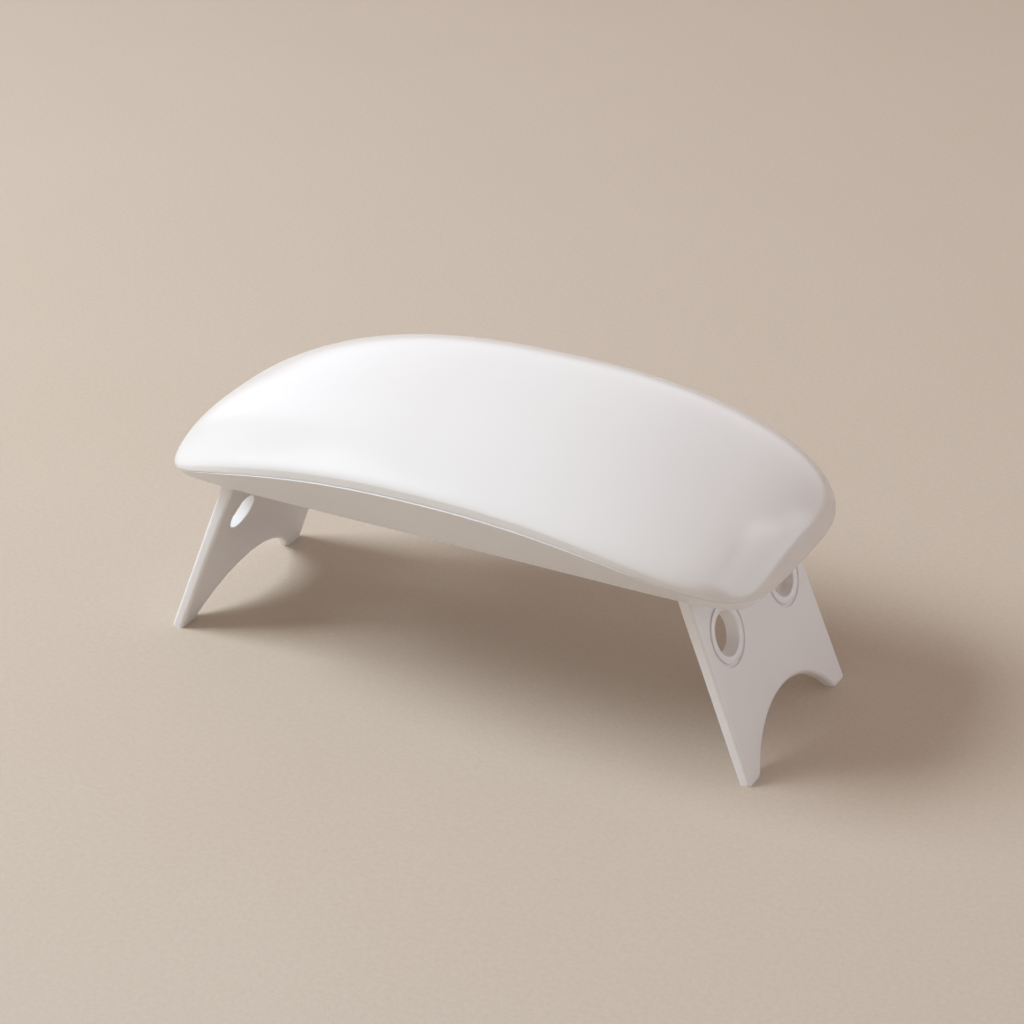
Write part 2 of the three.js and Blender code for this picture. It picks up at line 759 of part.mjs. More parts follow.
function makeUsbTongue() {
  const back = socketMouth - socketDepth + socketBack + solderGap;
  const middle = partSeat + socketHeight / 2;
  const tongue = block(
    new THREE.Vector3(-tongueWidth / 2, back, middle - tongueThickness / 2),
    new THREE.Vector3(tongueWidth / 2, back + tongueReach, middle + tongueThickness / 2),
  );
  return namedMesh('usb_tongue', tongue, blackPlastic());
}

// A chip with a row of bent pins along each long side
function makeChip(name, x, y) {
  const bottom = partSeat + pinThickness;
  const pieces = [standingBlock(chipLength, chipWidth, x, y, bottom, bottom + chipHeight)];
  for (let pin = 0; pin < chipPins; pin += 1) {
    const pinX = x + (pin - (chipPins - 1) / 2) * pinPitch;
    const span = chipWidth + 2 * pinReach;
    const shoulder = bottom + chipHeight / 2;
    pieces.push(standingBlock(pinWidth, chipWidth + pinReach, pinX, y, shoulder - pinThickness, shoulder));
    [1, -1].forEach((side) => {
      const legY = y + (side * (chipWidth + pinReach - pinThickness)) / 2;
      const footY = y + (side * (span + chipWidth + pinReach - 2 * pinThickness)) / 4;
      const footLength = (pinReach + 2 * pinThickness) / 2;
      pieces.push(standingBlock(pinWidth, pinThickness, pinX, legY, partSeat, shoulder));
      pieces.push(standingBlock(pinWidth, footLength, pinX, footY, partSeat, partSeat + pinThickness));
    });
  }
  return namedMesh(name, join(pieces), blackPlastic());
}

function makeInductor() {
  const baseTop = partSeat + inductorBase;
  const base = standingBlock(inductorSize, inductorSize, inductorX, inductorY, partSeat, baseTop);
  const drumBottom = partSeat + inductorBase / 2;
  const drumTop = partSeat + inductorHeight;
  const drum = uprightPost(inductorSize / 2, inductorX, inductorY, drumBottom, drumTop);
  return namedMesh('power_inductor', base.add(drum), blackPlastic());
}

function makeStorageCapacitor() {
  const base = standingBlock(canBaseSize, canBaseSize, canX, canY, partSeat, partSeat + canBaseHeight);
  const can = uprightPost(canRadius, canX, canY, partSeat + canBaseHeight / 2, partSeat + canHeight);
  return namedMesh('storage_capacitor', base.add(can), aluminium());
}

function makeInputDiode() {
  const tabTop = partSeat + diodeTabWidth / 2;
  const span = diodeLength + 2 * diodeTabLength;
  const body = standingBlock(diodeLength, diodeWidth, diodeX, diodeY, partSeat, partSeat + diodeHeight);
  const tabs = standingBlock(span, diodeTabWidth, diodeX, diodeY, partSeat, tabTop);
  return namedMesh('input_diode', body.add(tabs), blackPlastic());
}

// One current-limiting resistor on top of the board beside each lamp, on the side of the middle
function makeLampResistor(name, x, y) {
  const towards = x === 0 ? 1 : -Math.sign(x);
  const centre = x + towards * resistorOffset;
  const body = standingBlock(resistorLength, resistorWidth, centre, y, partSeat, partSeat + resistorHeight);
  return namedMesh(name, body, blackPlastic());
}

function makeChipCapacitor(name, place) {
  const x = (place - (chipCapacitorCount - 1) / 2) * chipCapacitorPitch;
  const top = partSeat + chipCapacitorHeight;
  const body = standingBlock(chipCapacitorLength, chipCapacitorWidth, x, chipCapacitorY, partSeat, top);
  return namedMesh(name, body, ceramic());
}

// A cross-head screw, its head on the upper or the lower side of its seat
function makeScrew(name, x, y, seat, length, headSide) {
  const headEnd = seat + headSide * screwHeadHeight;
  const tip = seat - headSide * length;
  const gap = headSide * solderGap;
  const lowToHigh = (one, other) => [Math.min(one, other), Math.max(one, other)];
  const head = uprightPost(screwHeadRadius, x, y, ...lowToHigh(seat + gap, headEnd), smallSides);
  const shank = uprightPost(screwRadius, x, y, ...lowToHigh(tip, headEnd - gap), smallSides);
  const slotFloor = headEnd - headSide * driveSlotDepth;
  const [slotLow, slotHigh] = lowToHigh(slotFloor, headEnd + headSide * overrun);
  const slots = [
    standingBlock(driveSlotLength, driveSlotWidth, x, y, slotLow, slotHigh),
    standingBlock(driveSlotWidth, driveSlotLength, x, y, slotLow, slotHigh),
  ];
  return namedMesh(name, cutAll(head.add(shank), slots), steel());
}

// Assembly
const caseGroup = new THREE.Group();
caseGroup.add(
  makeTopCover(),
  makeBaseCase(),
  makeHingePin('right_hinge_pin', 1),
  makeHingePin('left_hinge_pin', -1),
  makeReflectorPlate(),
  makeCircuitBoard(),
  makeTactSwitch(),
  makeUsbSocket(),
  makeUsbTongue(),
  makeChip('timer_chip', timerX, timerY),
  makeChip('driver_chip', driverX, driverY),
  makeInductor(),
  makeStorageCapacitor(),
  makeInputDiode(),
);
lampPlaces.forEach(([x, y], place) => {
  caseGroup.add(makeLamp(`uv_led_${place + 1}`, x, y));
  caseGroup.add(makeLampResistor(`lamp_resistor_${place + 1}`, x, y));
});
for (let place = 0; place < chipCapacitorCount; place += 1) {
  caseGroup.add(makeChipCapacitor(`chip_capacitor_${place + 1}`, place));
}
caseScrewPlaces.forEach(([x, y], place) => {
  caseGroup.add(makeScrew(`case_screw_${place + 1}`, x, y, screwHeadSeat, caseScrewLength, -1));
});
boardScrewPlaces.forEach(([x, y], place) => {
  caseGroup.add(makeScrew(`board_screw_${place + 1}`, x, y, boardTop, boardScrewLength, 1));
});

const buttonGroup = new THREE.Group();
buttonGroup.add(makePowerButton(), makeSwitchPlunger());

const rightLegGroup = new THREE.Group();
rightLegGroup.position.set(hingeX, 0, hingeHeight);
rightLegGroup.add(makeLeg('right_leg'));

const leftLegGroup = new THREE.Group();
leftLegGroup.position.set(-hingeX, 0, hingeHeight);
leftLegGroup.rotation.z = Math.PI;
leftLegGroup.add(makeLeg('left_leg'));

const lamp = new THREE.Group();
lamp.add(caseGroup, buttonGroup, rightLegGroup, leftLegGroup);

export default lamp;
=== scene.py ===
import math

import bpy
import numpy as np
from mathutils import Matrix, Vector


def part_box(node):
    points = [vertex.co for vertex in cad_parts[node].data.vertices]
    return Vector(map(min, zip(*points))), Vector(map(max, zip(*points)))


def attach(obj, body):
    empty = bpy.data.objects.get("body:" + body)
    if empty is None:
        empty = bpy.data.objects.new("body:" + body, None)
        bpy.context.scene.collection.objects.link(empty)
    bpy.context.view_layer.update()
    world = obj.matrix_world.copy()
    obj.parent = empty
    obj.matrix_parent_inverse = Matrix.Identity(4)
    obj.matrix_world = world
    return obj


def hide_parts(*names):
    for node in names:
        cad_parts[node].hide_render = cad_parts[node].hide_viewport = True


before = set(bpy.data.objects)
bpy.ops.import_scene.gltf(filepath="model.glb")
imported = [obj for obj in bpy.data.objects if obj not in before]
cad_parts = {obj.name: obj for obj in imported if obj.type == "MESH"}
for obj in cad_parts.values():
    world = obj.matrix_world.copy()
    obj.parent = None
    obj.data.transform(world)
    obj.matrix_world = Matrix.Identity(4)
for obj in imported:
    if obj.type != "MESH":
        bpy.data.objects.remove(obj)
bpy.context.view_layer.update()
mm = 0.001


# Camera
# It stands where the photograph was taken: before the lamp, to its right and above it. Its place, turn and
# focal length come from the feet, the edges of the legs, the seam and the outline in the photograph.
camera_turn = math.radians(28.84)
camera_rise = math.radians(27.70)
camera_roll = math.radians(-0.68)
camera_distance = 631.1 * mm
camera_aim = Vector((-28.05, 56.06, 0)) * mm
focal_pixels = 2738.3
picture_pixels = 1024
sensor_width = 36
nearest_seen = 10 * mm

toward_camera = Vector((
    math.sin(camera_turn) * math.cos(camera_rise),
    -math.cos(camera_turn) * math.cos(camera_rise),
    math.sin(camera_rise),
))
level_right = Vector((0, 0, 1)).cross(toward_camera).normalized()
level_up = toward_camera.cross(level_right)
picture_right = math.cos(camera_roll) * level_right + math.sin(camera_roll) * level_up
picture_up = math.cos(camera_roll) * level_up - math.sin(camera_roll) * level_right

bpy.ops.object.camera_add()
camera = bpy.context.object
camera.data.sensor_width = sensor_width
camera.data.lens = focal_pixels * sensor_width / picture_pixels
camera.data.clip_start = nearest_seen
camera_axes = Matrix((picture_right, picture_up, toward_camera)).transposed().to_4x4()
camera.matrix_world = Matrix.Translation(camera_aim + camera_distance * toward_camera) @ camera_axes
bpy.context.scene.camera = camera


# Room
# A matt beige paper sheet, slightly mottled and with a fine felted grain, in a pale room. One large soft box
# lights it from the left, and two weak cards from the front and the right. The glints show only as
# reflections on the gloss, where the real room's walls and ceiling were brighter.
class Signal:
    """A shader socket that can stand in a sum: each operation adds its Math node."""

    def __init__(self, finish, output):
        self.finish = finish
        self.output = output

    def combine(self, operation, first, second):
        return self.finish.add("ShaderNodeMath", {"operation": operation}, {0: first, 1: second})

    def __add__(self, other):
        return self.combine("ADD", self, other)

    def __radd__(self, other):
        return self.combine("ADD", other, self)

    def __sub__(self, other):
        return self.combine("SUBTRACT", self, other)

    def __rsub__(self, other):
        return self.combine("SUBTRACT", other, self)

    def __mul__(self, other):
        return self.combine("MULTIPLY", self, other)

    def __rmul__(self, other):
        return self.combine("MULTIPLY", other, self)


class Finish:
    """A material. Even values are set on the shader's own sockets and varying ones are linked to them."""

    def __init__(self, name, **even):
        self.material = bpy.data.materials.new(name)
        self.material.use_nodes = True
        self.tree = self.material.node_tree
        self.shader = self.tree.nodes["Principled BSDF"]
        for socket, value in even.items():
            self.feed(self.shader.inputs[socket.replace("_", " ").title().replace("Ior", "IOR")], value)
        self.place = self.add("ShaderNodeTexCoord", {}, {}, "Object")

    def add(self, kind, settings, sockets, output=0):
        """A new node with these settings, and these values or links in its sockets"""
        node = self.tree.nodes.new(kind)
        for name, value in settings.items():
            setattr(node, name, value)
        for socket, value in sockets.items():
            self.feed(node.inputs[socket], value)
        return Signal(self, node.outputs[output])

    def feed(self, socket, value):
        """Links a signal to a socket, or sets the socket's own value"""
        if isinstance(value, Signal):
            self.tree.links.new(value.output, socket)
        else:
            socket.default_value = value

    def noise(self, size, detail, place=None):
        """Soft noise whose features measure about size, from 0 to 1"""
        sockets = {"Vector": place or self.place, "Scale": 1 / size, "Detail": detail}
        return self.add("ShaderNodeTexNoise", {}, sockets)

    def blend(self, factor, first, second):
        """A colour between first and second"""
        return self.add("ShaderNodeMix", {"data_type": "RGBA"}, {0: factor, 6: first, 7: second}, 2)

    def between(self, factor, low, high):
        """A number between low and high"""
        return factor * (high - low) + low

    def bump(self, height, depth, strength):
        """A surface raised by height times depth"""
        sockets = {"Height": height, "Distance": depth, "Strength": strength}
        return self.add("ShaderNodeBump", {}, sockets, "Normal")

    def paint(self, **varying):
        """Links what changes over the surface, and gives the finished material"""
        for socket, value in varying.items():
            self.feed(self.shader.inputs[socket.replace("_", " ").title()], value)
        return self.material


def tone(red, green, blue):
    """A screen colour, each part from 0 to 255, as the shader's linear light"""
    def linear(part):
        share = part / 255
        return share / 12.92 if share <= 0.04045 else ((share + 0.055) / 1.055) ** 2.4
    return (linear(red), linear(green), linear(blue), 1)


sheet_size = 12
mottle_size = 60 * mm
felt_size = 1.1 * mm
speck_size = 0.45 * mm
paper_grain_depth = 0.12 * mm
bpy.ops.mesh.primitive_plane_add(size=sheet_size)
sheet = bpy.context.object
sheet.name = "paper_sheet"
paper = Finish("beige_paper", Roughness=0.9)
mottle = paper.noise(mottle_size, 3)
felt = paper.noise(felt_size, 3)
speck = paper.noise(speck_size, 1)
mottle_shade = paper.between(mottle, 0.25, 0.55)
felt_shade = paper.between(felt, -0.5, 0.5)
speck_shade = paper.between(speck, -0.3, 0.3)
paper_shade = mottle_shade + felt_shade + speck_shade
paper_behind = paper.blend(paper_shade, tone(196, 182, 165), tone(207, 194, 179))
paper_before = paper.blend(paper_shade, tone(197, 186, 173), tone(208, 198, 187))

# The sheet is warmer behind the lamp and greyer before it
grey_at_lamp = 0.1
grey_per_metre = 3.5
grey_softness = 0.2
paper_y = paper.add("ShaderNodeSeparateXYZ", {}, {0: paper.place}, "Y")
greyness = paper.add(
    "ShaderNodeMath", {"operation": "SMOOTH_MIN", "use_clamp": True},
    {0: grey_at_lamp - grey_per_metre * paper_y, 1: 1.0, 2: grey_softness},
)
paper_colour = paper.blend(greyness, paper_behind, paper_before)
paper_grain = paper.bump(felt + 0.5 * speck, paper_grain_depth, 0.5)
sheet.data.materials.append(paper.paint(base_color=paper_colour, normal=paper_grain))

room_colour = tone(255, 224, 203)
room_strength = 0.385
room = bpy.data.worlds.new("pale_room")
room.use_nodes = True
room_light = room.node_tree.nodes["Background"]
room_light.inputs["Color"].default_value = room_colour
room_light.inputs["Strength"].default_value = room_strength
bpy.context.scene.world = room
bpy.context.scene.view_settings.view_transform = "Standard"

lamp_middle = Vector((0, 0, 40 * mm))


def soft_box(name, direction, distance, size, power, colour, height=None):
    """A studio light at a distance from the lamp, facing it, square unless it has a height of its own"""
    away = Vector(direction).normalized()
    bpy.ops.object.light_add(type="AREA", location=lamp_middle + distance * away)
    light = bpy.context.object
    light.name = name
    light.data.shape = "RECTANGLE"
    light.data.size = size
    light.data.size_y = height or size
    light.data.energy = power
    light.data.color = colour
    light.rotation_euler = away.to_track_quat("Z", "Y").to_euler()
    return light


key_direction = (-0.944, -0.381, 0.965)
key_distance = 1.1
key_colour = (0.81, 0.91, 1)
card_distance = 1.0
key_light = soft_box("key_soft_box", key_direction, key_distance, 0.55, 12.5, key_colour)
key_light.visible_glossy = False
soft_box("key_glint", key_direction, key_distance, 0.59, 1.2, key_colour)
soft_box("front_card", (0.25, -1, 0.12), card_distance, 0.9, 1.4, (0.68, 0.92, 0.98))
right_card = soft_box("right_card", (0.9, 0.34, 0.24), card_distance, 0.95, 1.25, (0.72, 0.82, 1), height=0.5)
right_card.visible_glossy = False
glints = [
    soft_box("right_glint", (0.886, 0.413, 0.208), card_distance, 1.25, 12, (0.8, 0.92, 1)),
    soft_box("rear_glint", (-0.208, 0.978, 0.35), card_distance, 2, 14, (0.82, 0.91, 1)),
    soft_box("left_glint", (-0.978, -0.208, 0.35), card_distance, 2, 1.5, (0.82, 0.92, 1)),
    soft_box("ceiling_glint", (0.073, -0.342, 1), card_distance, 2, 13, (0.8, 0.91, 1)),
]
for glint in glints:
    glint.visible_diffuse = False


# Top cover
# The glossy white lid: one injection moulding with a low crown, a rounded edge and a short plain rim that
# ends in the arched seam. It is held by four screws from below and hides the board.
outline_columns = 384
outline_samples = 2001
cover_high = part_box("top_cover")[1]
half_length = cover_high.x
half_width = cover_high.y
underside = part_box("base_case")[0].z
cover_power = 4.3
seam_power = 2.35
seam_end_rise = 0.6 * mm
seam_mid_rise = 13 * mm
edge_height = 2.65 * mm
rim_mid_height = 1.6 * mm
rim_end_height = 0.5 * mm
edge_power = 20
crown_rise = cover_high.z - underside - seam_mid_rise - edge_height
crown_end_power = 2.7
crown_end_root = 0.35
crown_side_power = 2.6
cover_wall = 1.6 * mm
rim_rounding = 0.12 * mm
rim_end_rounding = 0.35 * mm
rim_height_power = 3
rim_rounding_power = 5
rim_rounding_steps = 5
crown_rows = 64
cavity_rows = 14
row_crowding = 2.2
weld = 1e-6
next_to_nothing = 1e-9


def everything_off():
    """Leaves edit mode, and nothing selected"""
    if bpy.context.mode != "OBJECT":
        bpy.ops.object.mode_set(mode="OBJECT")
    bpy.ops.object.select_all(action="DESELECT")


def picked(piece, *others):
    """Selects a piece, with any others, and makes it the active one"""
    everything_off()
    for chosen in (piece, *others):
        chosen.select_set(True)
    bpy.context.view_layer.objects.active = piece


def welded(piece, fill=False):
    """Merges doubled points, fills open ends if asked, and turns the faces outwards"""
    picked(piece)
    bpy.ops.object.mode_set(mode="EDIT")
    bpy.ops.mesh.select_all(action="SELECT")
    bpy.ops.mesh.remove_doubles(threshold=weld)
    if fill:
        bpy.ops.mesh.select_all(action="SELECT")
        bpy.ops.mesh.fill_holes(sides=0)
    bpy.ops.mesh.select_all(action="SELECT")
    bpy.ops.mesh.normals_make_consistent(inside=False)
    bpy.ops.object.mode_set(mode="OBJECT")


def rounded_outline(length, width, power):
    """Points at equal steps round a rounded rectangle with these half sizes, from its +X end"""
    turn = np.linspace(0, np.pi / 2, outline_samples)
    reach = (np.cos(turn) ** power + np.sin(turn) ** power) ** (-1 / power)
    x = length * reach * np.cos(turn)
    y = width * reach * np.sin(turn)
    along = np.concatenate(([0], np.cumsum(np.hypot(np.diff(x), np.diff(y)))))
    steps = np.linspace(0, along[-1], outline_columns // 4 + 1)[:-1]
    quarter = np.stack([np.interp(steps, along, x), np.interp(steps, along, y)], 1)
    next_steps = steps + steps[1]
    back = np.stack([np.interp(next_steps, along, x), np.interp(next_steps, along, y)], 1)[::-1]
    upper = np.concatenate([quarter, back * (-1, 1)])
    return np.concatenate([upper, -upper])


def seam_height(x):
    """The seam arches up from the two ends to the middle of the long sides"""
    along = np.minimum(1, np.abs(x) / half_length)
    return underside + seam_end_rise + (seam_mid_rise - seam_end_rise) * (1 - along ** seam_power)


def crown_height(x, y, length, width):
    """The crown over its own outline, steep at the two ends and gentle at the sides"""
    along = np.minimum(1, np.abs(x) / length)
    chord = np.maximum(width * (1 - along ** cover_power) ** (1 / cover_power), next_to_nothing)
    across = np.minimum(1, np.abs(y) / chord)
    return crown_rise * (1 - along ** crown_end_power) ** crown_end_root * (1 - across ** crown_side_power)


def ring_at(outline, height):
    """An outline lifted to a height, which may vary from point to point"""
    return np.column_stack([outline, np.broadcast_to(height, len(outline))])


def wrapped_form(name, rings, looped=False):
    """A grid wrapped round the form, one row for each ring. Rings of one point close as poles, and open ends
    are filled; a looped form runs back to its first ring."""
    columns = max(len(ring) for ring in rings)
    rows = [np.broadcast_to(ring, (columns, 3)) for ring in rings]
    if looped:
        rows.append(rows[0])
    everything_off()
    bpy.ops.mesh.primitive_grid_add(x_subdivisions=columns, y_subdivisions=len(rows) - 1, size=1)
    form = bpy.context.object
    form.name = name
    places = np.concatenate([np.concatenate([row, row[:1]]) for row in rows])
    form.data.vertices.foreach_set("co", places.astype(np.float32).ravel())
    welded(form, fill=True)
    return form


def smooth(piece, degrees=30):
    """Smooth shading that keeps edges sharper than the angle"""
    picked(piece)
    bpy.ops.object.shade_smooth_by_angle(angle=math.radians(degrees))
    return piece


def applied(piece, kind, **settings):
    """Adds a modifier with these settings and applies it"""
    picked(piece)
    modifier = piece.modifiers.new(kind.lower(), kind)
    for name, value in settings.items():
        setattr(modifier, name, value)
    bpy.ops.object.modifier_apply(modifier=modifier.name)
    return piece


def dressed(piece, body, slot, material, *nodes):
    """Gives a finished piece its material and its body, and hides the CAD nodes that it stands for; the slot
    is not used
    """
    piece.data.materials.clear()
    piece.data.materials.append(material)
    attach(piece, body)
    if nodes:
        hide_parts(*nodes)
    return piece


def rim_height(x):
    """The plain rim is tallest at the middle of the long sides"""
    along = np.minimum(1, np.abs(x) / half_length)
    return rim_mid_height + (rim_end_height - rim_mid_height) * along ** rim_height_power


def crown_ring(share, inset):
    """A ring of the crown at a share of the way out from its middle, inset on the inside"""
    length = half_length - inset
    width = half_width - inset
    outline = rounded_outline(length, width, cover_power) * share
    x, y = outline.T
    tightness = edge_power * (1 + (x / half_length) ** 2)
    edge = (edge_height - rim_height(x)) * np.sqrt(1 - share ** tightness)
    lift = edge_height - cover_wall if inset else rim_height(x) + edge
    return ring_at(outline, seam_height(x) + lift + crown_height(x, y, length, width))


def drawn_in(outline, distance):
    """An outline drawn in by a distance, which may vary from point to point"""
    along = np.roll(outline, -1, 0) - np.roll(outline, 1, 0)
    outward = np.column_stack([along[:, 1], -along[:, 0]]) / np.hypot(*along.T)[:, None]
    return outline - outward * np.broadcast_to(distance, len(outline))[:, None]


def rim_ring(inset, lift):
    """A ring of the rim, inset from the outline and lifted above the seam"""
    outline = rounded_outline(half_length, half_width, cover_power)
    return ring_at(drawn_in(outline, inset), seam_height(outline[:, 0]) + lift)


def shares_outward(rows):
    """Shares of the way out from the middle, closer together towards the edge"""
    return 1 - (1 - np.linspace(0, 1, rows + 1)[1:]) ** row_crowding


crown_top = np.array([[0, 0, cover_high.z]])
cavity_top = np.array([[0, 0, cover_high.z - cover_wall]])
cover_rings = [crown_top]
cover_rings += [crown_ring(share, 0) for share in shares_outward(crown_rows)]
rim_x = rounded_outline(half_length, half_width, cover_power)[:, 0]
rim_share = np.abs(rim_x / half_length) ** rim_rounding_power
rim_edge = rim_rounding + (rim_end_rounding - rim_rounding) * rim_share
cover_rings.append(rim_ring(0, (rim_height(rim_x) + rim_edge) / 2))
for turn in np.linspace(0, math.pi / 2, rim_rounding_steps + 1):
    cover_rings.append(rim_ring(rim_edge * (1 - math.cos(turn)), rim_edge * (1 - math.sin(turn))))
cover_rings += [rim_ring(cover_wall, lift) for lift in (0, edge_height - cover_wall)]
cover_rings += [crown_ring(share, cover_wall) for share in shares_outward(cavity_rows)[:-1][::-1]]
cover_rings.append(cavity_top)
cover = smooth(wrapped_form("domed_cover", cover_rings), 40)

gloss = Finish("glossy_white_plastic", IOR=1.5)
gloss_cloud = gloss.noise(30 * mm, 2)
gloss_ripple = gloss.noise(5 * mm, 2)
gloss_colour = gloss.blend(gloss_cloud, tone(229, 228, 227), tone(232, 231, 230))
gloss_roughness = gloss.between(gloss.noise(9 * mm, 3), 0.18, 0.24)
gloss_ripples = gloss.bump(gloss_ripple, 0.02 * mm, 0.3)
cover_plastic = gloss.paint(base_color=gloss_colour, roughness=gloss_roughness, normal=gloss_ripples)
dressed(cover, "case", "cover_plastic", cover_plastic, "top_cover")


# Lower case
# The white tub under the cover: one moulding whose wall draws in from the seam to a flat underside. A ledge
# stands a little proud of the rim, and the recess for the folded legs, the lamp holes and the screw holes
# are cut into it.
end_draft = 1.2 * mm
recess_half_width = 23.9 * mm
recess_side_wall = 1 * mm
underside_length = half_length - end_draft
underside_width = recess_half_width + recess_side_wall
underside_power = 10.7
ledge_proud = 0.2 * mm
ledge_tuck = 0.55 * mm
ledge_tuck_power = 2.4
ledge_gap = 0.05 * mm
ledge_rounding = 0.16 * mm
lower_rounding = 0.4 * mm
lower_rounding_most = 0.9
lip_inset = 1.9 * mm
lip_wall = 1.2 * mm
lip_rise = 0.9 * mm
wall_rows = 12
top_shares = (0.85, 0.6, 0.35, 0.15)


def ledge_ring(inset, lift):
    """A ring of the ledge, inset and lifted from its edge, which is proud along the sides and drawn in at the
    ends"""
    plain = rounded_outline(half_length, half_width, cover_power)
    along = np.abs(plain[:, 0]) / half_length
    outline = drawn_in(plain, inset - ledge_proud + ledge_tuck * along ** ledge_tuck_power)
    return ring_at(outline, seam_height(plain[:, 0]) - ledge_gap + lift)


wall_foot = ring_at(rounded_outline(underside_length, underside_width, underside_power), underside)
wall_head = ledge_ring(0, -ledge_rounding)
wall_lift = wall_head - wall_foot


def lower_edge_ring(turn):
    """A ring of the rounding between the underside and the wall"""
    inset = lower_rounding * (1 - math.sin(turn))
    rise = lower_rounding * (1 - math.cos(turn))
    outline = rounded_outline(underside_length - inset, underside_width - inset, underside_power)
    room_above = np.maximum(wall_lift[:, 2], next_to_nothing)
    share = np.minimum(rise / room_above, lower_rounding_most)
    return ring_at(outline + wall_lift[:, :2] * share[:, None], underside + share * room_above)


case_rings = [lower_edge_ring(math.radians(turn)) for turn in (0, 18, 36, 54, 72, 90)]
foot_share = (case_rings[-1][:, 2] - underside) / np.maximum(wall_lift[:, 2], next_to_nothing)
for row in range(1, wall_rows + 1):
    share = foot_share + (1 - foot_share) * row / wall_rows
    case_rings.append(wall_foot + wall_lift * share[:, None])
for turn in (30, 60, 90):
    angle = math.radians(turn)
    rise = ledge_rounding * math.sin(angle) - ledge_rounding
    case_rings.append(ledge_ring(ledge_rounding * (1 - math.cos(angle)), rise))
for inset, lift in ((0, 0), (0, lip_rise), (lip_wall, lip_rise), (lip_wall, 0)):
    case_rings.append(ledge_ring(lip_inset + inset, lift))
for share in top_shares:
    inner = rounded_outline(half_length, half_width, cover_power) * share
    case_rings.append(ring_at(inner, seam_height(inner[:, 0]) - ledge_gap))
case_rings.append(np.array([[0, 0, underside + seam_mid_rise - ledge_gap]]))
case = wrapped_form("lower_case", case_rings)


def joined(first, *others):
    """One mesh of several pieces"""
    picked(first, *others)
    bpy.ops.object.join()
    return first


def cut(piece, *cutters, operation="DIFFERENCE"):
    """Cuts forms that stand clear of each other out of a piece, or joins them on"""
    cutter = joined(*cutters)
    applied(piece, "BOOLEAN", object=cutter, operation=operation, solver="EXACT")
    bpy.data.objects.remove(cutter)
    return piece


def circle(x, y, radius, columns=64):
    """Points at equal steps round a circle"""
    turn = np.arange(columns) * 2 * np.pi / columns
    return np.stack([x + radius * np.cos(turn), y + radius * np.sin(turn)], 1)


def turned_form(x, y, levels, columns=64, name="turned"):
    """A form turned about a line along Z, from its (radius, height) section"""
    return wrapped_form(name, [ring_at(circle(x, y, radius, columns), height) for radius, height in levels])


def block(name, low, high):
    """A box between two corners"""
    everything_off()
    low = Vector(low)
    high = Vector(high)
    bpy.ops.mesh.primitive_cube_add(size=1, location=(low + high) / 2)
    form = bpy.context.object
    form.name = name
    form.scale = high - low
    bpy.ops.object.transform_apply(location=True, rotation=True, scale=True)
    return form


def soft_corners(corners, radius, steps=6):
    """An outline through these corners, each rounded to the radius"""
    points = []
    count = len(corners)
    for place, corner in enumerate(corners):
        here = Vector(corner)
        before = (Vector(corners[place - 1]) - here).normalized()
        after = (Vector(corners[(place + 1) % count]) - here).normalized()
        half = math.acos(max(-1, min(1, before.dot(after)))) / 2
        centre = here + (before + after).normalized() * radius / math.sin(half)
        start = here + before * radius / math.tan(half) - centre
        end = here + after * radius / math.tan(half) - centre
        sweep = start.angle_signed(end)
        for step in range(steps + 1):
            turned = Matrix.Rotation(-sweep * step / steps, 2) @ start
            points.append(centre + turned)
    return np.array([point[:] for point in points])


# The recess
hinge_inset = 17.5 * mm
hinge_rise = 2.6 * mm
hinge_x = half_length - hinge_inset
hinge_height = underside + hinge_rise
leg_splay = math.radians(22.1)
barrel_radius = 2.1 * mm
leg_reach = (hinge_height + barrel_radius * math.sin(leg_splay)) / math.cos(leg_splay)
leg_thickness = 2.85 * mm
leg_clearance = 0.3 * mm
folded_leg_lift = 0.5 * mm
folded_leg_gap = 0.25 * mm
deck_thickness = 1.6 * mm
recess_ceiling = underside + folded_leg_lift + leg_thickness + folded_leg_gap
deck = recess_ceiling + deck_thickness
open_drop = hinge_height - underside + barrel_radius * math.sin(leg_splay)
recess_end = hinge_x + barrel_radius * math.cos(leg_splay) + open_drop * math.tan(leg_splay) + leg_clearance
recess_end_half = 22.2 * mm
folded_foot = hinge_x - leg_reach
rim_flare = 0.25 * mm
rim_flare_rows = 5
recess_corner = 1.2 * mm
long_overcut = 2 * mm
overcut = 1 * mm


def recess_ring(grow, height):
    """A ring of the recess, widest where the feet of the folded legs lie"""
    end = recess_end + grow
    end_half = recess_end_half + grow
    half = recess_half_width + grow
    corners = [
        (end, -end_half), (end, end_half), (folded_foot, half), (-folded_foot, half),
        (-end, end_half), (-end, -end_half), (-folded_foot, -half), (folded_foot, -half),
    ]
    return ring_at(soft_corners(corners, recess_corner + grow), height)


flare = []
for turn in np.linspace(0, math.pi / 2, rim_flare_rows):
    flare.append((rim_flare * (1 - math.sin(turn)), underside + rim_flare * (1 - math.cos(turn))))
recess_rings = [recess_ring(rim_flare, underside - long_overcut)]
recess_rings += [recess_ring(grow, height) for grow, height in flare]
recess_rings.append(recess_ring(0, recess_ceiling))
cut(case, wrapped_form("cutter", recess_rings))

# The room for the board, above the deck
room_end_spread = 0.5 * mm
room_side_spread = 1.3 * mm
room_inset = 3.3 * mm
room_height = 25 * mm
room_low_half = (underside_length + room_end_spread, underside_width + room_side_spread)
room_low = rounded_outline(*room_low_half, underside_power)
room_high = rounded_outline(half_length - room_inset, half_width - room_inset, cover_power)
room_top = underside + room_height
cut(case, wrapped_form("cutter", [ring_at(room_low, deck), ring_at(room_high, room_top)]))

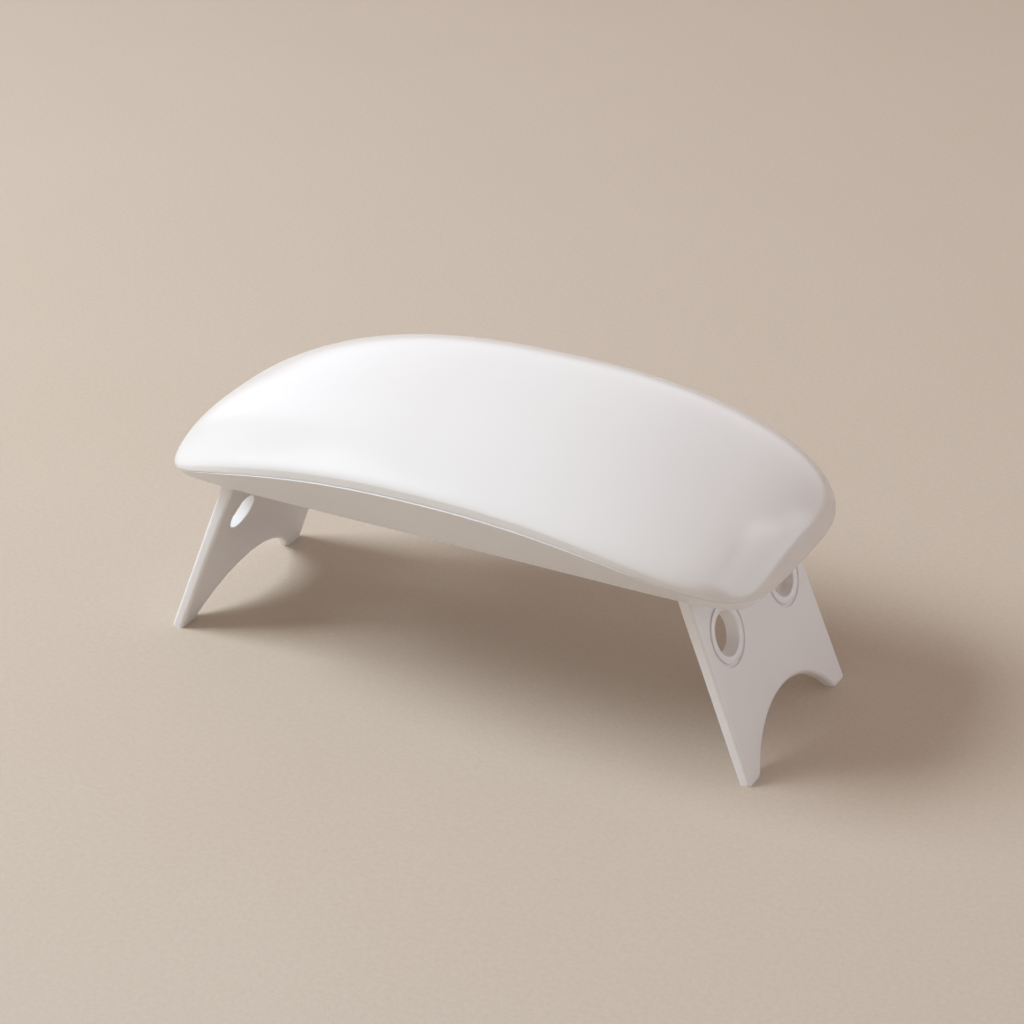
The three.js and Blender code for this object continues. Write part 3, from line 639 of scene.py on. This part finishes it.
# The seat of the reflector, the button's hole, the lamp holes and the screw holes
reflector_low, reflector_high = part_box("reflector_plate")
button_low, button_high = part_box("power_button")
seat_depth = 0.7 * mm
plate_seat = recess_ceiling + seat_depth
plate_gap = 0.2 * mm
plate_corner = 3 * mm
lamp_names = [f"uv_led_{place}" for place in range(1, 7)]
lamp_places = [(sum(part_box(name), Vector()) / 2).xy for name in lamp_names]
case_screws = [f"case_screw_{place}" for place in range(1, 5)]
screw_places = [(sum(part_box(name), Vector()) / 2).xy for name in case_screws]
button_y = (button_low.y + button_high.y) / 2
button_length = 7 * mm
button_width = 4.4 * mm
button_gap = 0.25 * mm


def stadium(length, width, steps=16):
    """A slot's outline about the button's middle"""
    turn = np.linspace(-np.pi / 2, np.pi / 2, steps + 1)
    x = (length - width) / 2 + width / 2 * np.cos(turn)
    y = width / 2 * np.sin(turn)
    return np.concatenate([np.stack([x, y], 1), -np.stack([x, y], 1)]) + (0, button_y)


def plate_outline(grow):
    """The reflector's outline, grown by a gap or as it is"""
    x = reflector_high.x + grow
    y = reflector_high.y + grow
    return soft_corners([(x, -y), (x, y), (-x, y), (-x, -y)], plate_corner + grow, 10)


def upright_cutter(outline, low, high):
    """A cutter with straight walls between two heights"""
    return wrapped_form("cutter", [ring_at(outline, low), ring_at(outline, high)])


plate_cutter = upright_cutter(plate_outline(plate_gap), recess_ceiling - overcut, plate_seat)
button_hole = stadium(button_length + 2 * button_gap, button_width + 2 * button_gap)
button_cutter = upright_cutter(button_hole, recess_ceiling - overcut, deck + overcut)
lamp_hole_radius = 3.2 * mm
lamp_neck_radius = 2.5 * mm
lamp_hole = [(lamp_hole_radius, recess_ceiling - overcut), (lamp_hole_radius, recess_ceiling)]
lamp_hole.append((lamp_neck_radius, deck + overcut))
lamp_cutters = [turned_form(x, y, lamp_hole) for x, y in lamp_places]
counterbore = 2.1 * mm
shank_hole = 1 * mm
screw_floor = 1.5 * mm
shank_hole_height = 16 * mm
screw_seat = underside + screw_floor
counterbore_flare = [(counterbore + grow, height) for grow, height in flare]
screw_hole = [(counterbore + rim_flare, underside - long_overcut)] + counterbore_flare
screw_hole += [(counterbore, screw_seat), (shank_hole, screw_seat)]
screw_hole.append((shank_hole, underside + shank_hole_height))
screw_cutters = [turned_form(x, y, screw_hole) for x, y in screw_places]

# The hinges: a round hollow over each leg's barrel
hollow_radius = barrel_radius + leg_clearance
along_y = Matrix.Rotation(math.pi / 2, 4, "X")
hinge_cutters = []
for side in (1, -1):
    hollow = turned_form(0, 0, [(hollow_radius, -recess_end_half), (hollow_radius, recess_end_half)])
    hollow.data.transform(Matrix.Translation((side * hinge_x, 0, hinge_height)) @ along_y)
    hinge_cutters.append(hollow)

# The opening of the power inlet in the rear wall, and the notch for the board's edge
socket_low, socket_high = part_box("usb_socket")
inlet_gap = 0.3 * mm
inlet_corner = 0.9 * mm
notch_half = 7.8 * mm
notch_front = 21 * mm
notch_top_gap = 0.1 * mm
inlet_low = (socket_low.x - inlet_gap, socket_low.y, socket_low.z - inlet_gap)
inlet_high = (socket_high.x + inlet_gap, half_width + long_overcut, socket_high.z + inlet_gap)
inlet_cutter = applied(block("cutter", inlet_low, inlet_high), "BEVEL", width=inlet_corner, segments=5)
cut(case, plate_cutter, button_cutter, inlet_cutter, *screw_cutters, *hinge_cutters)
board_low, board_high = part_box("circuit_board")
notch_low = (-notch_half, notch_front, board_low.z - inlet_gap)
notch_high = (notch_half, board_high.y + inlet_gap, board_high.z + notch_top_gap)
cut(case, block("cutter", notch_low, notch_high), *lamp_cutters)

smooth(case, 35)
applied(case, "WEIGHTED_NORMAL", keep_sharp=True)
satin_grain_depth = 0.01 * mm


def satin_plastic(name, cloud_size, sheen_size, grain_size, roughness):
    """White plastic from a satin mould: a faint cloud in its colour, an uneven sheen and a fine grain"""
    finish = Finish(name, IOR=1.5)
    cloud = finish.noise(cloud_size, 2)
    grain = finish.noise(grain_size, 2)
    colour = finish.blend(cloud, tone(231, 230, 231), tone(236, 235, 236))
    sheen = finish.between(finish.noise(sheen_size, 3), *roughness)
    relief = finish.bump(grain, satin_grain_depth, 0.4)
    return finish.paint(base_color=colour, roughness=sheen, normal=relief)


case_plastic = satin_plastic("satin_white_plastic", 22 * mm, 4 * mm, 0.35 * mm, (0.34, 0.44))
dressed(case, "case", "case_plastic", case_plastic, "base_case")


# Legs
# Two like legs, each moulded in one with its hinge barrel: a plate with soft edges, thinner at its feet, with
# an arch cut out of the foot end and two holes for the lamps, each with a round rim in a shallow groove. They
# turn on steel pins.
leg_top_width = 44.2 * mm
foot_span = 47.2 * mm
foot_width = 4.9 * mm
foot_round = 1.2 * mm
arch_rise = 10.4 * mm
arch_points = 41
leg_rounding = 0.8 * mm
leg_taper = 0.15
leg_hole_radius = 4.4 * mm
inner_hole_radius = 4 * mm
inner_hole_shift = 0.5 * mm
hole_rounding = 0.6 * mm
leg_hole_height = 28.6 * mm
leg_hole_y = abs(lamp_places[0].y)
ring_radius = 6 * mm
ring_height = 0.1 * mm
ring_rounding = 0.6 * mm
ring_rows = 9
hole_rows = 8
hole_columns = 96
groove_width = 0.6 * mm
groove_depth = 0.4 * mm
groove_flare = 0.1 * mm
flare_outside = 0.03 * mm
flare_inside = 0.08 * mm
sleeve_radius = 5.6 * mm
sleeve_overlap = 0.1 * mm
sleeve_seat = 0.12 * mm
back_rounding = 0.3 * mm
back_step = 0.09 * mm
sliver = 0.01 * mm
barrel_chamfer = 0.3 * mm
bore_radius = 1.02 * mm


def curve_through(start, bend, end, steps=6):
    """A quadratic arc from start to end that leans towards bend"""
    shares = np.linspace(0, 1, steps + 1)[:, None]
    leaving = (1 - shares) ** 2 * np.array(start)
    bending = 2 * shares * (1 - shares) * np.array(bend)
    return leaving + bending + shares ** 2 * np.array(end)


def leg_outline():
    """A leg laid flat: x across, y from the hinge to the feet"""
    half = foot_span / 2
    arch_half = half - foot_width
    arch_radius = (arch_half ** 2 + arch_rise ** 2) / (2 * arch_rise)
    arch_centre = leg_reach + arch_radius - arch_rise
    springing = leg_reach - foot_round
    spring_half = math.sqrt(arch_radius ** 2 - (arch_centre - springing) ** 2)
    tilt = math.atan2(arch_centre - springing, spring_half)
    edge_half = leg_top_width / 2 + (half - leg_top_width / 2) * springing / leg_reach
    arch_turns = np.linspace(math.pi + tilt, 2 * math.pi - tilt, arch_points)[1:-1]
    arch = np.stack([arch_radius * np.cos(arch_turns), arch_centre + arch_radius * np.sin(arch_turns)], 1)
    outer_toe = curve_through((-edge_half, springing), (-half, leg_reach), (-half + foot_round, leg_reach))
    inner_start = (-arch_half - foot_round, leg_reach)
    inner_toe = curve_through(inner_start, (-arch_half, leg_reach), (-spring_half, springing))
    left_foot = np.concatenate([outer_toe, inner_toe])
    right_foot = left_foot[::-1] * (-1, 1)
    top = np.array([(leg_top_width / 2, 0), (-leg_top_width / 2, 0)])
    return np.concatenate([left_foot, arch, right_foot, top])


def moulded_plate(name, outlines, thickness, rounding, rounding_steps=4):
    """A plate cut to the first outline, with the others as holes, all edges rounded, lying on Z 0"""
    curve = bpy.data.curves.new(name, "CURVE")
    curve.dimensions = "2D"
    curve.fill_mode = "BOTH"
    curve.extrude = thickness / 2 - rounding
    curve.bevel_depth = rounding
    curve.bevel_resolution = rounding_steps
    curve.offset = -rounding
    for outline in outlines:
        spline = curve.splines.new("POLY")
        spline.points.add(len(outline) - 1)
        points = np.pad(outline, ((0, 0), (0, 2)))
        points[:, 3] = 1
        spline.points.foreach_set("co", points.ravel())
        spline.use_cyclic_u = True
    plate = bpy.data.objects.new(name, curve)
    bpy.context.scene.collection.objects.link(plate)
    picked(plate)
    bpy.ops.object.convert(target="MESH")
    plate = bpy.context.object
    plate.data.transform(Matrix.Translation((0, 0, thickness / 2)))
    welded(plate)
    return plate


leg_hole_place = leg_reach - leg_hole_height
plain_leg = moulded_plate("leg", [leg_outline()[::-1]], leg_thickness, leg_rounding)

# The holes: a pocket is cut out round each, and a sleeve with the rim and the hole is set in it
groove_high = ring_radius + groove_width
groove_mouth = groove_high + groove_flare
pocket_section = [
    (groove_mouth, -overcut), (groove_mouth, -flare_outside), (groove_high, flare_inside),
    (groove_high, groove_depth), (sleeve_radius, groove_depth), (sleeve_radius, leg_thickness + overcut),
]
sleeve_foot = groove_depth + sleeve_seat
sleeve_reach = sleeve_radius + sleeve_overlap
sleeve_section = [(sleeve_reach, leg_thickness + sliver, 0), (sleeve_reach, sleeve_foot, 0)]
sleeve_section.append((ring_radius, sleeve_foot, 0))
for turn in np.linspace(0, math.pi / 2, ring_rows):
    radius = ring_radius - ring_rounding * (1 - math.cos(turn))
    sleeve_section.append((radius, -ring_height * math.sin(turn), 0))
for turn in np.linspace(0, math.pi / 2, hole_rows):
    radius = leg_hole_radius + hole_rounding * (1 - math.sin(turn))
    sleeve_section.append((radius, -ring_height + hole_rounding * (1 - math.cos(turn)), 0))
for grow, depth in ((0, -back_rounding), (back_step, -back_step), (back_rounding, sliver)):
    sleeve_section.append((inner_hole_radius + grow, leg_thickness + depth, inner_hole_shift))
pockets = []
sleeves = []
for side in (1, -1):
    x = side * leg_hole_y
    pockets.append(turned_form(x, leg_hole_place, pocket_section, hole_columns))
    sleeve_rings = []
    for radius, depth, shift in sleeve_section:
        sleeve_rings.append(ring_at(circle(x, leg_hole_place - shift, radius, hole_columns), depth))
    sleeves.append(wrapped_form("sleeve", sleeve_rings, looped=True))
cut(plain_leg, *pockets)
barrel_half = leg_top_width / 2
barrel = turned_form(0, 0, [
    (barrel_radius - barrel_chamfer, -barrel_half), (barrel_radius, -barrel_half + barrel_chamfer),
    (barrel_radius, barrel_half - barrel_chamfer), (barrel_radius - barrel_chamfer, barrel_half),
])
barrel_place = Matrix.Translation((0, 0, barrel_radius)) @ Matrix.Rotation(math.pi / 2, 4, "Y")
barrel.data.transform(barrel_place)
cut(plain_leg, barrel, *sleeves, operation="UNION")
bore = turned_form(0, 0, [(bore_radius, -leg_top_width), (bore_radius, leg_top_width)], 32)
bore.data.transform(barrel_place)
cut(plain_leg, bore)

# The taper, taken off the outer face towards the feet
for vertex in plain_leg.data.vertices:
    slimmer = 1 - leg_taper * max(0, vertex.co.y) / leg_reach
    vertex.co.z = leg_thickness - (leg_thickness - vertex.co.z) * slimmer

leg_plastic = satin_plastic("leg_white_plastic", 14 * mm, 3 * mm, 0.3 * mm, (0.36, 0.46))


def copied(piece, name, move):
    """A copy of a finished piece with a mesh of its own, moved into its place"""
    copy = piece.copy()
    copy.data = piece.data.copy()
    bpy.context.scene.collection.objects.link(copy)
    copy.name = name
    copy.data.transform(move)
    return copy


for side, body in ((1, "right_leg"), (-1, "left_leg")):
    across = Vector((0, side, 0))
    down = Vector((side * math.sin(leg_splay), 0, -math.cos(leg_splay)))
    inward = across.cross(down)
    face = Vector((side * hinge_x, 0, hinge_height)) - barrel_radius * inward
    standing = Matrix.Translation(face) @ Matrix((across, down, inward)).transposed().to_4x4()
    leg = copied(plain_leg, body + "_moulding", standing)
    picked(leg)
    bpy.ops.object.mode_set(mode="EDIT")
    bpy.ops.mesh.select_all(action="SELECT")
    bpy.ops.mesh.remove_doubles(threshold=weld)
    bpy.ops.mesh.select_all(action="SELECT")
    bpy.ops.mesh.bisect(
        plane_co=(0, 0, 0), plane_no=(0, 0, 1), threshold=weld, clear_inner=True, use_fill=True)
    bpy.ops.object.mode_set(mode="OBJECT")
    smooth(leg, 35)
    applied(leg, "WEIGHTED_NORMAL", keep_sharp=True)
    dressed(leg, body, "leg_plastic", leg_plastic, body)
bpy.data.objects.remove(plain_leg)


# Hinge pins
# Two plain steel pins, one through the barrel of each leg, with chamfered ends. They are pressed into the
# case and hold the legs.
plated = Finish("plated_steel", Metallic=1.0)
steel_marks = plated.noise(0.25 * mm, 3)
steel_colour = plated.blend(plated.noise(2 * mm, 2), tone(186, 188, 190), tone(205, 206, 207))
steel_roughness = plated.between(steel_marks, 0.24, 0.36)
steel_bump = plated.bump(steel_marks, 0.004 * mm, 0.4)
steel = plated.paint(base_color=steel_colour, roughness=steel_roughness, normal=steel_bump)
pin_low, pin_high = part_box("right_hinge_pin")
pin_radius = (pin_high.z - pin_low.z) / 2
pin_half = pin_high.y
pin_chamfer = 0.2 * mm
pin = turned_form(0, 0, [
    (pin_radius - pin_chamfer, -pin_half), (pin_radius, -pin_half + pin_chamfer),
    (pin_radius, pin_half - pin_chamfer), (pin_radius - pin_chamfer, pin_half),
], 48, "pin")
pin.data.transform(along_y)
smooth(pin)
for side, name in ((1, "right_hinge_pin"), (-1, "left_hinge_pin")):
    placed = copied(pin, name + "_rod", Matrix.Translation((side * hinge_x, 0, hinge_height)))
    dressed(placed, "case", "steel", steel, name)
bpy.data.objects.remove(pin)


# Reflector plate
# A thin plate of bright rolled aluminium in a shallow seat in the recess, with a round opening for each
# lamp. It is glued to its seat and throws the light of the lamps down.
plate_hole_radius = 3.4 * mm
plate_edge = 0.1 * mm
plate_thickness = reflector_high.z - reflector_low.z
plate_holes = [circle(x, y, plate_hole_radius, 64)[::-1] for x, y in lamp_places]
plate = moulded_plate("bright_plate", [plate_outline(0), *plate_holes], plate_thickness, plate_edge, 2)
plate.data.transform(Matrix.Translation((0, 0, reflector_low.z)))
smooth(plate, 35)
applied(plate, "WEIGHTED_NORMAL", keep_sharp=True)
rolled = Finish("rolled_aluminium", Metallic=1.0)
rolling = rolled.add("ShaderNodeVectorMath", {"operation": "MULTIPLY"}, {0: rolled.place, 1: (0.04, 1, 1)})
rolled_marks = rolled.noise(0.3 * mm, 3, rolling)
rolled_colour = rolled.blend(rolled.noise(12 * mm, 2), tone(226, 227, 229), tone(238, 238, 239))
rolled_roughness = rolled.between(rolled_marks, 0.12, 0.22)
rolled_bump = rolled.bump(rolled_marks, 0.003 * mm, 0.4)
bright_aluminium = rolled.paint(base_color=rolled_colour, roughness=rolled_roughness, normal=rolled_bump)
dressed(plate, "case", "reflector", bright_aluminium, "reflector_plate")


# Ultraviolet lamps
# Six like LEDs on the board, shining down through the openings: a square ceramic base, a small violet die on
# it, and a clear lens of cast silicone with a straight shank and a round dome.
led_low, led_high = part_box("uv_led_1")
led_base_half = 1.75 * mm
led_base_height = 0.8 * mm
lens_radius = 1.7 * mm
lens_shank = 0.9 * mm
lens_fillet = 0.12 * mm
lens_rows = 13
base_edge = 0.12 * mm
die_edge = 0.04 * mm
die_half = 0.55 * mm
die_height = 0.16 * mm
base_bottom = led_high.z - led_base_height
lens_tip = led_low.z
base_low = (-led_base_half, -led_base_half, base_bottom)
ceramic_base = block("led_base", base_low, (led_base_half, led_base_half, led_high.z))
applied(ceramic_base, "BEVEL", width=base_edge, segments=3)
smooth(ceramic_base)
die = block("led_die", (-die_half, -die_half, base_bottom - die_height), (die_half, die_half, base_bottom))
applied(die, "BEVEL", width=die_edge, segments=2)
smooth(die)
dome_height = base_bottom - lens_shank - lens_tip
lens_rings = [(lens_radius + lens_fillet, base_bottom), (lens_radius, base_bottom - lens_fillet)]
for turn in np.linspace(0, math.pi / 2, lens_rows):
    lens_rings.append((lens_radius * math.cos(turn), base_bottom - lens_shank - dome_height * math.sin(turn)))
lens_rings[-1] = (0, lens_tip)
lens = smooth(turned_form(0, 0, lens_rings, 48, "led_lens"), 50)


def grained(name, size, detail, colours, roughness, depth=0, strength=0.5, **even):
    """A finish whose colour, roughness and bump all follow one grain"""
    finish = Finish(name, **even)
    grain = finish.noise(size, detail)
    dark, light = colours
    varying = {
        "base_color": finish.blend(grain, tone(*dark), tone(*light)),
        "roughness": finish.between(grain, *roughness),
    }
    if depth:
        varying["normal"] = finish.bump(grain, depth, strength)
    return finish.paint(**varying)


white_ceramic = grained(
    "white_ceramic", 0.2 * mm, 3, ((222, 221, 214), (236, 235, 230)), (0.42, 0.55), 0.006 * mm, IOR=1.6)
violet_die = grained("violet_die", 0.15 * mm, 2, ((92, 78, 132), (150, 128, 96)), (0.15, 0.3), IOR=2.0)
clear_silicone = grained(
    "clear_silicone", 1.5 * mm, 2, ((236, 232, 246), (246, 243, 250)), (0.02, 0.07),
    IOR=1.42, Transmission_Weight=0.92)
for number, (x, y) in enumerate(lamp_places, 1):
    place = Matrix.Translation((x, y, 0))
    dressed(copied(lens, f"lamp_lens_{number}", place), "case", "lens", clear_silicone, f"uv_led_{number}")
    dressed(copied(ceramic_base, f"lamp_base_{number}", place), "case", "ceramic", white_ceramic)
    dressed(copied(die, f"lamp_die_{number}", place), "case", "lens", violet_die)
for model in (lens, ceramic_base, die):
    bpy.data.objects.remove(model)


# Power button
# A small slot-shaped cap of satin plastic in the recess. Its flange inside keeps it from falling out, and it
# pushes the switch on the board. Its face is slightly hollow for the fingertip.
flange_length = 8.4 * mm
flange_width = 5.8 * mm
flange_thickness = 0.5 * mm
flange_bottom = button_high.z - flange_thickness
button_edge = 0.5 * mm
face_hollow = ((0.8 * mm, 0.03 * mm), (1.2 * mm, 0.1 * mm), (1.6 * mm, 0.15 * mm), (2.0 * mm, 0.17 * mm))
button_levels = [
    (flange_length, flange_width, button_high.z), (flange_length, flange_width, flange_bottom),
    (button_length, button_width, flange_bottom), (button_length, button_width, button_low.z + button_edge),
]
for turn in (22.5, 45, 67.5, 90):
    inset = button_edge * (1 - math.cos(math.radians(turn)))
    height = button_low.z + button_edge * (1 - math.sin(math.radians(turn)))
    button_levels.append((button_length - 2 * inset, button_width - 2 * inset, height))
for inset, hollow_depth in face_hollow:
    button_levels.append((button_length - 2 * inset, button_width - 2 * inset, button_low.z + hollow_depth))
button_rings = [ring_at(stadium(length, width), height) for length, width, height in button_levels]
button = wrapped_form("button_cap", button_rings)
smooth(button, 35)
button_finish = Finish("button_white_plastic", IOR=1.5)
button_grain = button_finish.noise(0.3 * mm, 2)
button_colour = button_finish.blend(button_finish.noise(3 * mm, 2), tone(224, 223, 222), tone(231, 230, 229))
button_roughness = button_finish.between(button_grain, 0.4, 0.5)
button_bump = button_finish.bump(button_grain, satin_grain_depth, 0.4)
button_plastic = button_finish.paint(base_color=button_colour, roughness=button_roughness, normal=button_bump)
dressed(button, "button", "button_plastic", button_plastic, "power_button")


# Case screws
# Four small plated steel screws with a domed head and a cross recess. They pass through the case from below
# into the cover.
screw_low, screw_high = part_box("case_screw_1")
head_radius = (screw_high.x - screw_low.x) / 2
shank_radius = 0.8 * mm
thread_start = 1.4 * mm
thread_pitch = 0.4 * mm
thread_depth = 0.15 * mm
screw_point = 0.5 * mm
screw_point_share = 0.5
head_dome = ((0.72, 0), (0.86, 0.06 * mm), (0.96, 0.22 * mm), (1, 0.45 * mm))
screw_levels = [(head_radius * share, screw_low.z + rise) for share, rise in head_dome]
screw_levels += [
    (head_radius, screw_seat), (shank_radius, screw_seat), (shank_radius, screw_seat + thread_start),
]
thread = screw_seat + thread_start
while thread + thread_pitch < screw_high.z - screw_point:
    root = shank_radius - thread_depth
    screw_levels += [(root, thread + thread_pitch / 2), (shank_radius, thread + thread_pitch)]
    thread += thread_pitch
screw_levels.append((shank_radius * screw_point_share, screw_high.z))
screw = turned_form(0, 0, screw_levels, 48, "screw")
cross_depth = 0.6 * mm
arm_reach = 0.95 * mm
arm_half_width = 0.17 * mm
cross_low = screw_low.z - overcut / 2
cross_high = screw_low.z + cross_depth
for x, y in ((arm_reach, arm_half_width), (arm_half_width, arm_reach)):
    cut(screw, block("arm", (-x, -y, cross_low), (x, y, cross_high)))
smooth(screw, 35)
for number, (x, y) in enumerate(screw_places, 1):
    placed = copied(screw, f"case_screw_{number}_body", Matrix.Translation((x, y, 0)))
    dressed(placed, "case", "steel", steel, f"case_screw_{number}")
bpy.data.objects.remove(screw)


# Power inlet
# A small folded steel shell in the rear wall, open to the rear, with a black tongue that carries five gilt
# contacts. It is soldered to the board.
inlet_x = (socket_low.x + socket_high.x) / 2
inlet_z = (socket_low.z + socket_high.z) / 2
shell_wall = 0.3 * mm
shell_corner = 0.6 * mm
shell_inner_corner = 0.2 * mm
tongue_edge = 0.12 * mm


def shell_ring(inset, y):
    """A ring of the shell's outside, or inset for its inside"""
    x = socket_high.x - inlet_x - inset
    z = socket_high.z - inlet_z - inset
    corner = max(shell_corner - inset, shell_inner_corner)
    outline = soft_corners([(x, -z), (x, z), (-x, z), (-x, -z)], corner, 5)
    return np.column_stack([outline[:, 0] + inlet_x, np.full(len(outline), y), outline[:, 1] + inlet_z])


shell_lip = 0.1 * mm
shell_section = [
    (0, socket_low.y), (0, socket_high.y - shell_lip), (shell_lip, socket_high.y),
    (shell_wall - shell_lip, socket_high.y), (shell_wall, socket_high.y - shell_lip),
    (shell_wall, socket_low.y + shell_wall),
]
shell = wrapped_form("inlet_shell", [shell_ring(inset, y) for inset, y in shell_section])
smooth(shell, 35)
dressed(shell, "case", "steel", steel, "usb_socket")
tongue_low, tongue_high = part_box("usb_tongue")
tongue = block("inlet_tongue", tongue_low, tongue_high)
smooth(applied(tongue, "BEVEL", width=tongue_edge, segments=3))
black_plastic = grained(
    "black_plastic", 0.2 * mm, 2, ((24, 24, 26), (38, 38, 40)), (0.4, 0.55), 0.005 * mm, IOR=1.5)
dressed(tongue, "case", "black_plastic", black_plastic, "usb_tongue")
contact_half = 0.12 * mm
contact_rise = 0.05 * mm
contact_pitch = 0.65 * mm
contact_rear = 0.6 * mm
contact_front = 0.3 * mm
contact_edge = 0.03 * mm
contacts = []
for number in range(5):
    x = inlet_x + (number - 2) * contact_pitch
    low = (x - contact_half, tongue_low.y + contact_rear, tongue_low.z - contact_rise)
    high = (x + contact_half, tongue_high.y - contact_front, tongue_low.z + contact_rise)
    contacts.append(applied(block("inlet_contacts", low, high), "BEVEL", width=contact_edge, segments=2))
contact_strip = smooth(joined(*contacts))
gilt_metal = grained(
    "gilt_contacts", 0.3 * mm, 2, ((212, 172, 96), (232, 196, 120)), (0.2, 0.35), Metallic=1.0)
dressed(contact_strip, "case", "steel", gilt_metal)


# Board and its parts
# A white lacquered board on four screws, with the switch, the two chips, the power parts and the small chip
# parts soldered on top. All of it is closed in by the cover, so its solids stay and take their finishes here.
def repainted(material, *names):
    """Puts a material on CAD nodes that stay as they are"""
    for name in names:
        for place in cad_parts[name].material_slots:
            place.material = material


lacquer = Finish("white_lacquered_board", IOR=1.5)
lacquer_weave = lacquer.noise(0.6 * mm, 2)
lacquer_colour = lacquer.blend(lacquer.noise(8 * mm, 2), tone(222, 226, 218), tone(234, 237, 230))
lacquer_bump = lacquer.bump(lacquer_weave, 0.01 * mm, 0.4)
lacquer_roughness = lacquer.between(lacquer_weave, 0.35, 0.5)
white_lacquer = lacquer.paint(base_color=lacquer_colour, roughness=lacquer_roughness, normal=lacquer_bump)
repainted(white_lacquer, "circuit_board")

dark_ferrite = grained(
    "dark_ferrite", 0.4 * mm, 4, ((58, 56, 55), (84, 82, 80)), (0.6, 0.8), 0.02 * mm, 0.6, IOR=1.6)
can_metal = grained(
    "aluminium_can", 0.3 * mm, 3, ((190, 192, 195), (214, 215, 217)), (0.25, 0.38), Metallic=1.0)
brown_ceramic = grained(
    "brown_ceramic", 0.15 * mm, 3, ((150, 118, 88), (172, 140, 108)), (0.45, 0.6), IOR=1.6)
repainted(dark_ferrite, "power_inductor")
repainted(can_metal, "storage_capacitor")
repainted(black_plastic, "timer_chip", "driver_chip", "input_diode", "tact_switch", "switch_plunger")
repainted(black_plastic, *[f"lamp_resistor_{number}" for number in range(1, 7)])
repainted(brown_ceramic, *[f"chip_capacitor_{number}" for number in range(1, 5)])
repainted(steel, *[f"board_screw_{number}" for number in range(1, 5)])
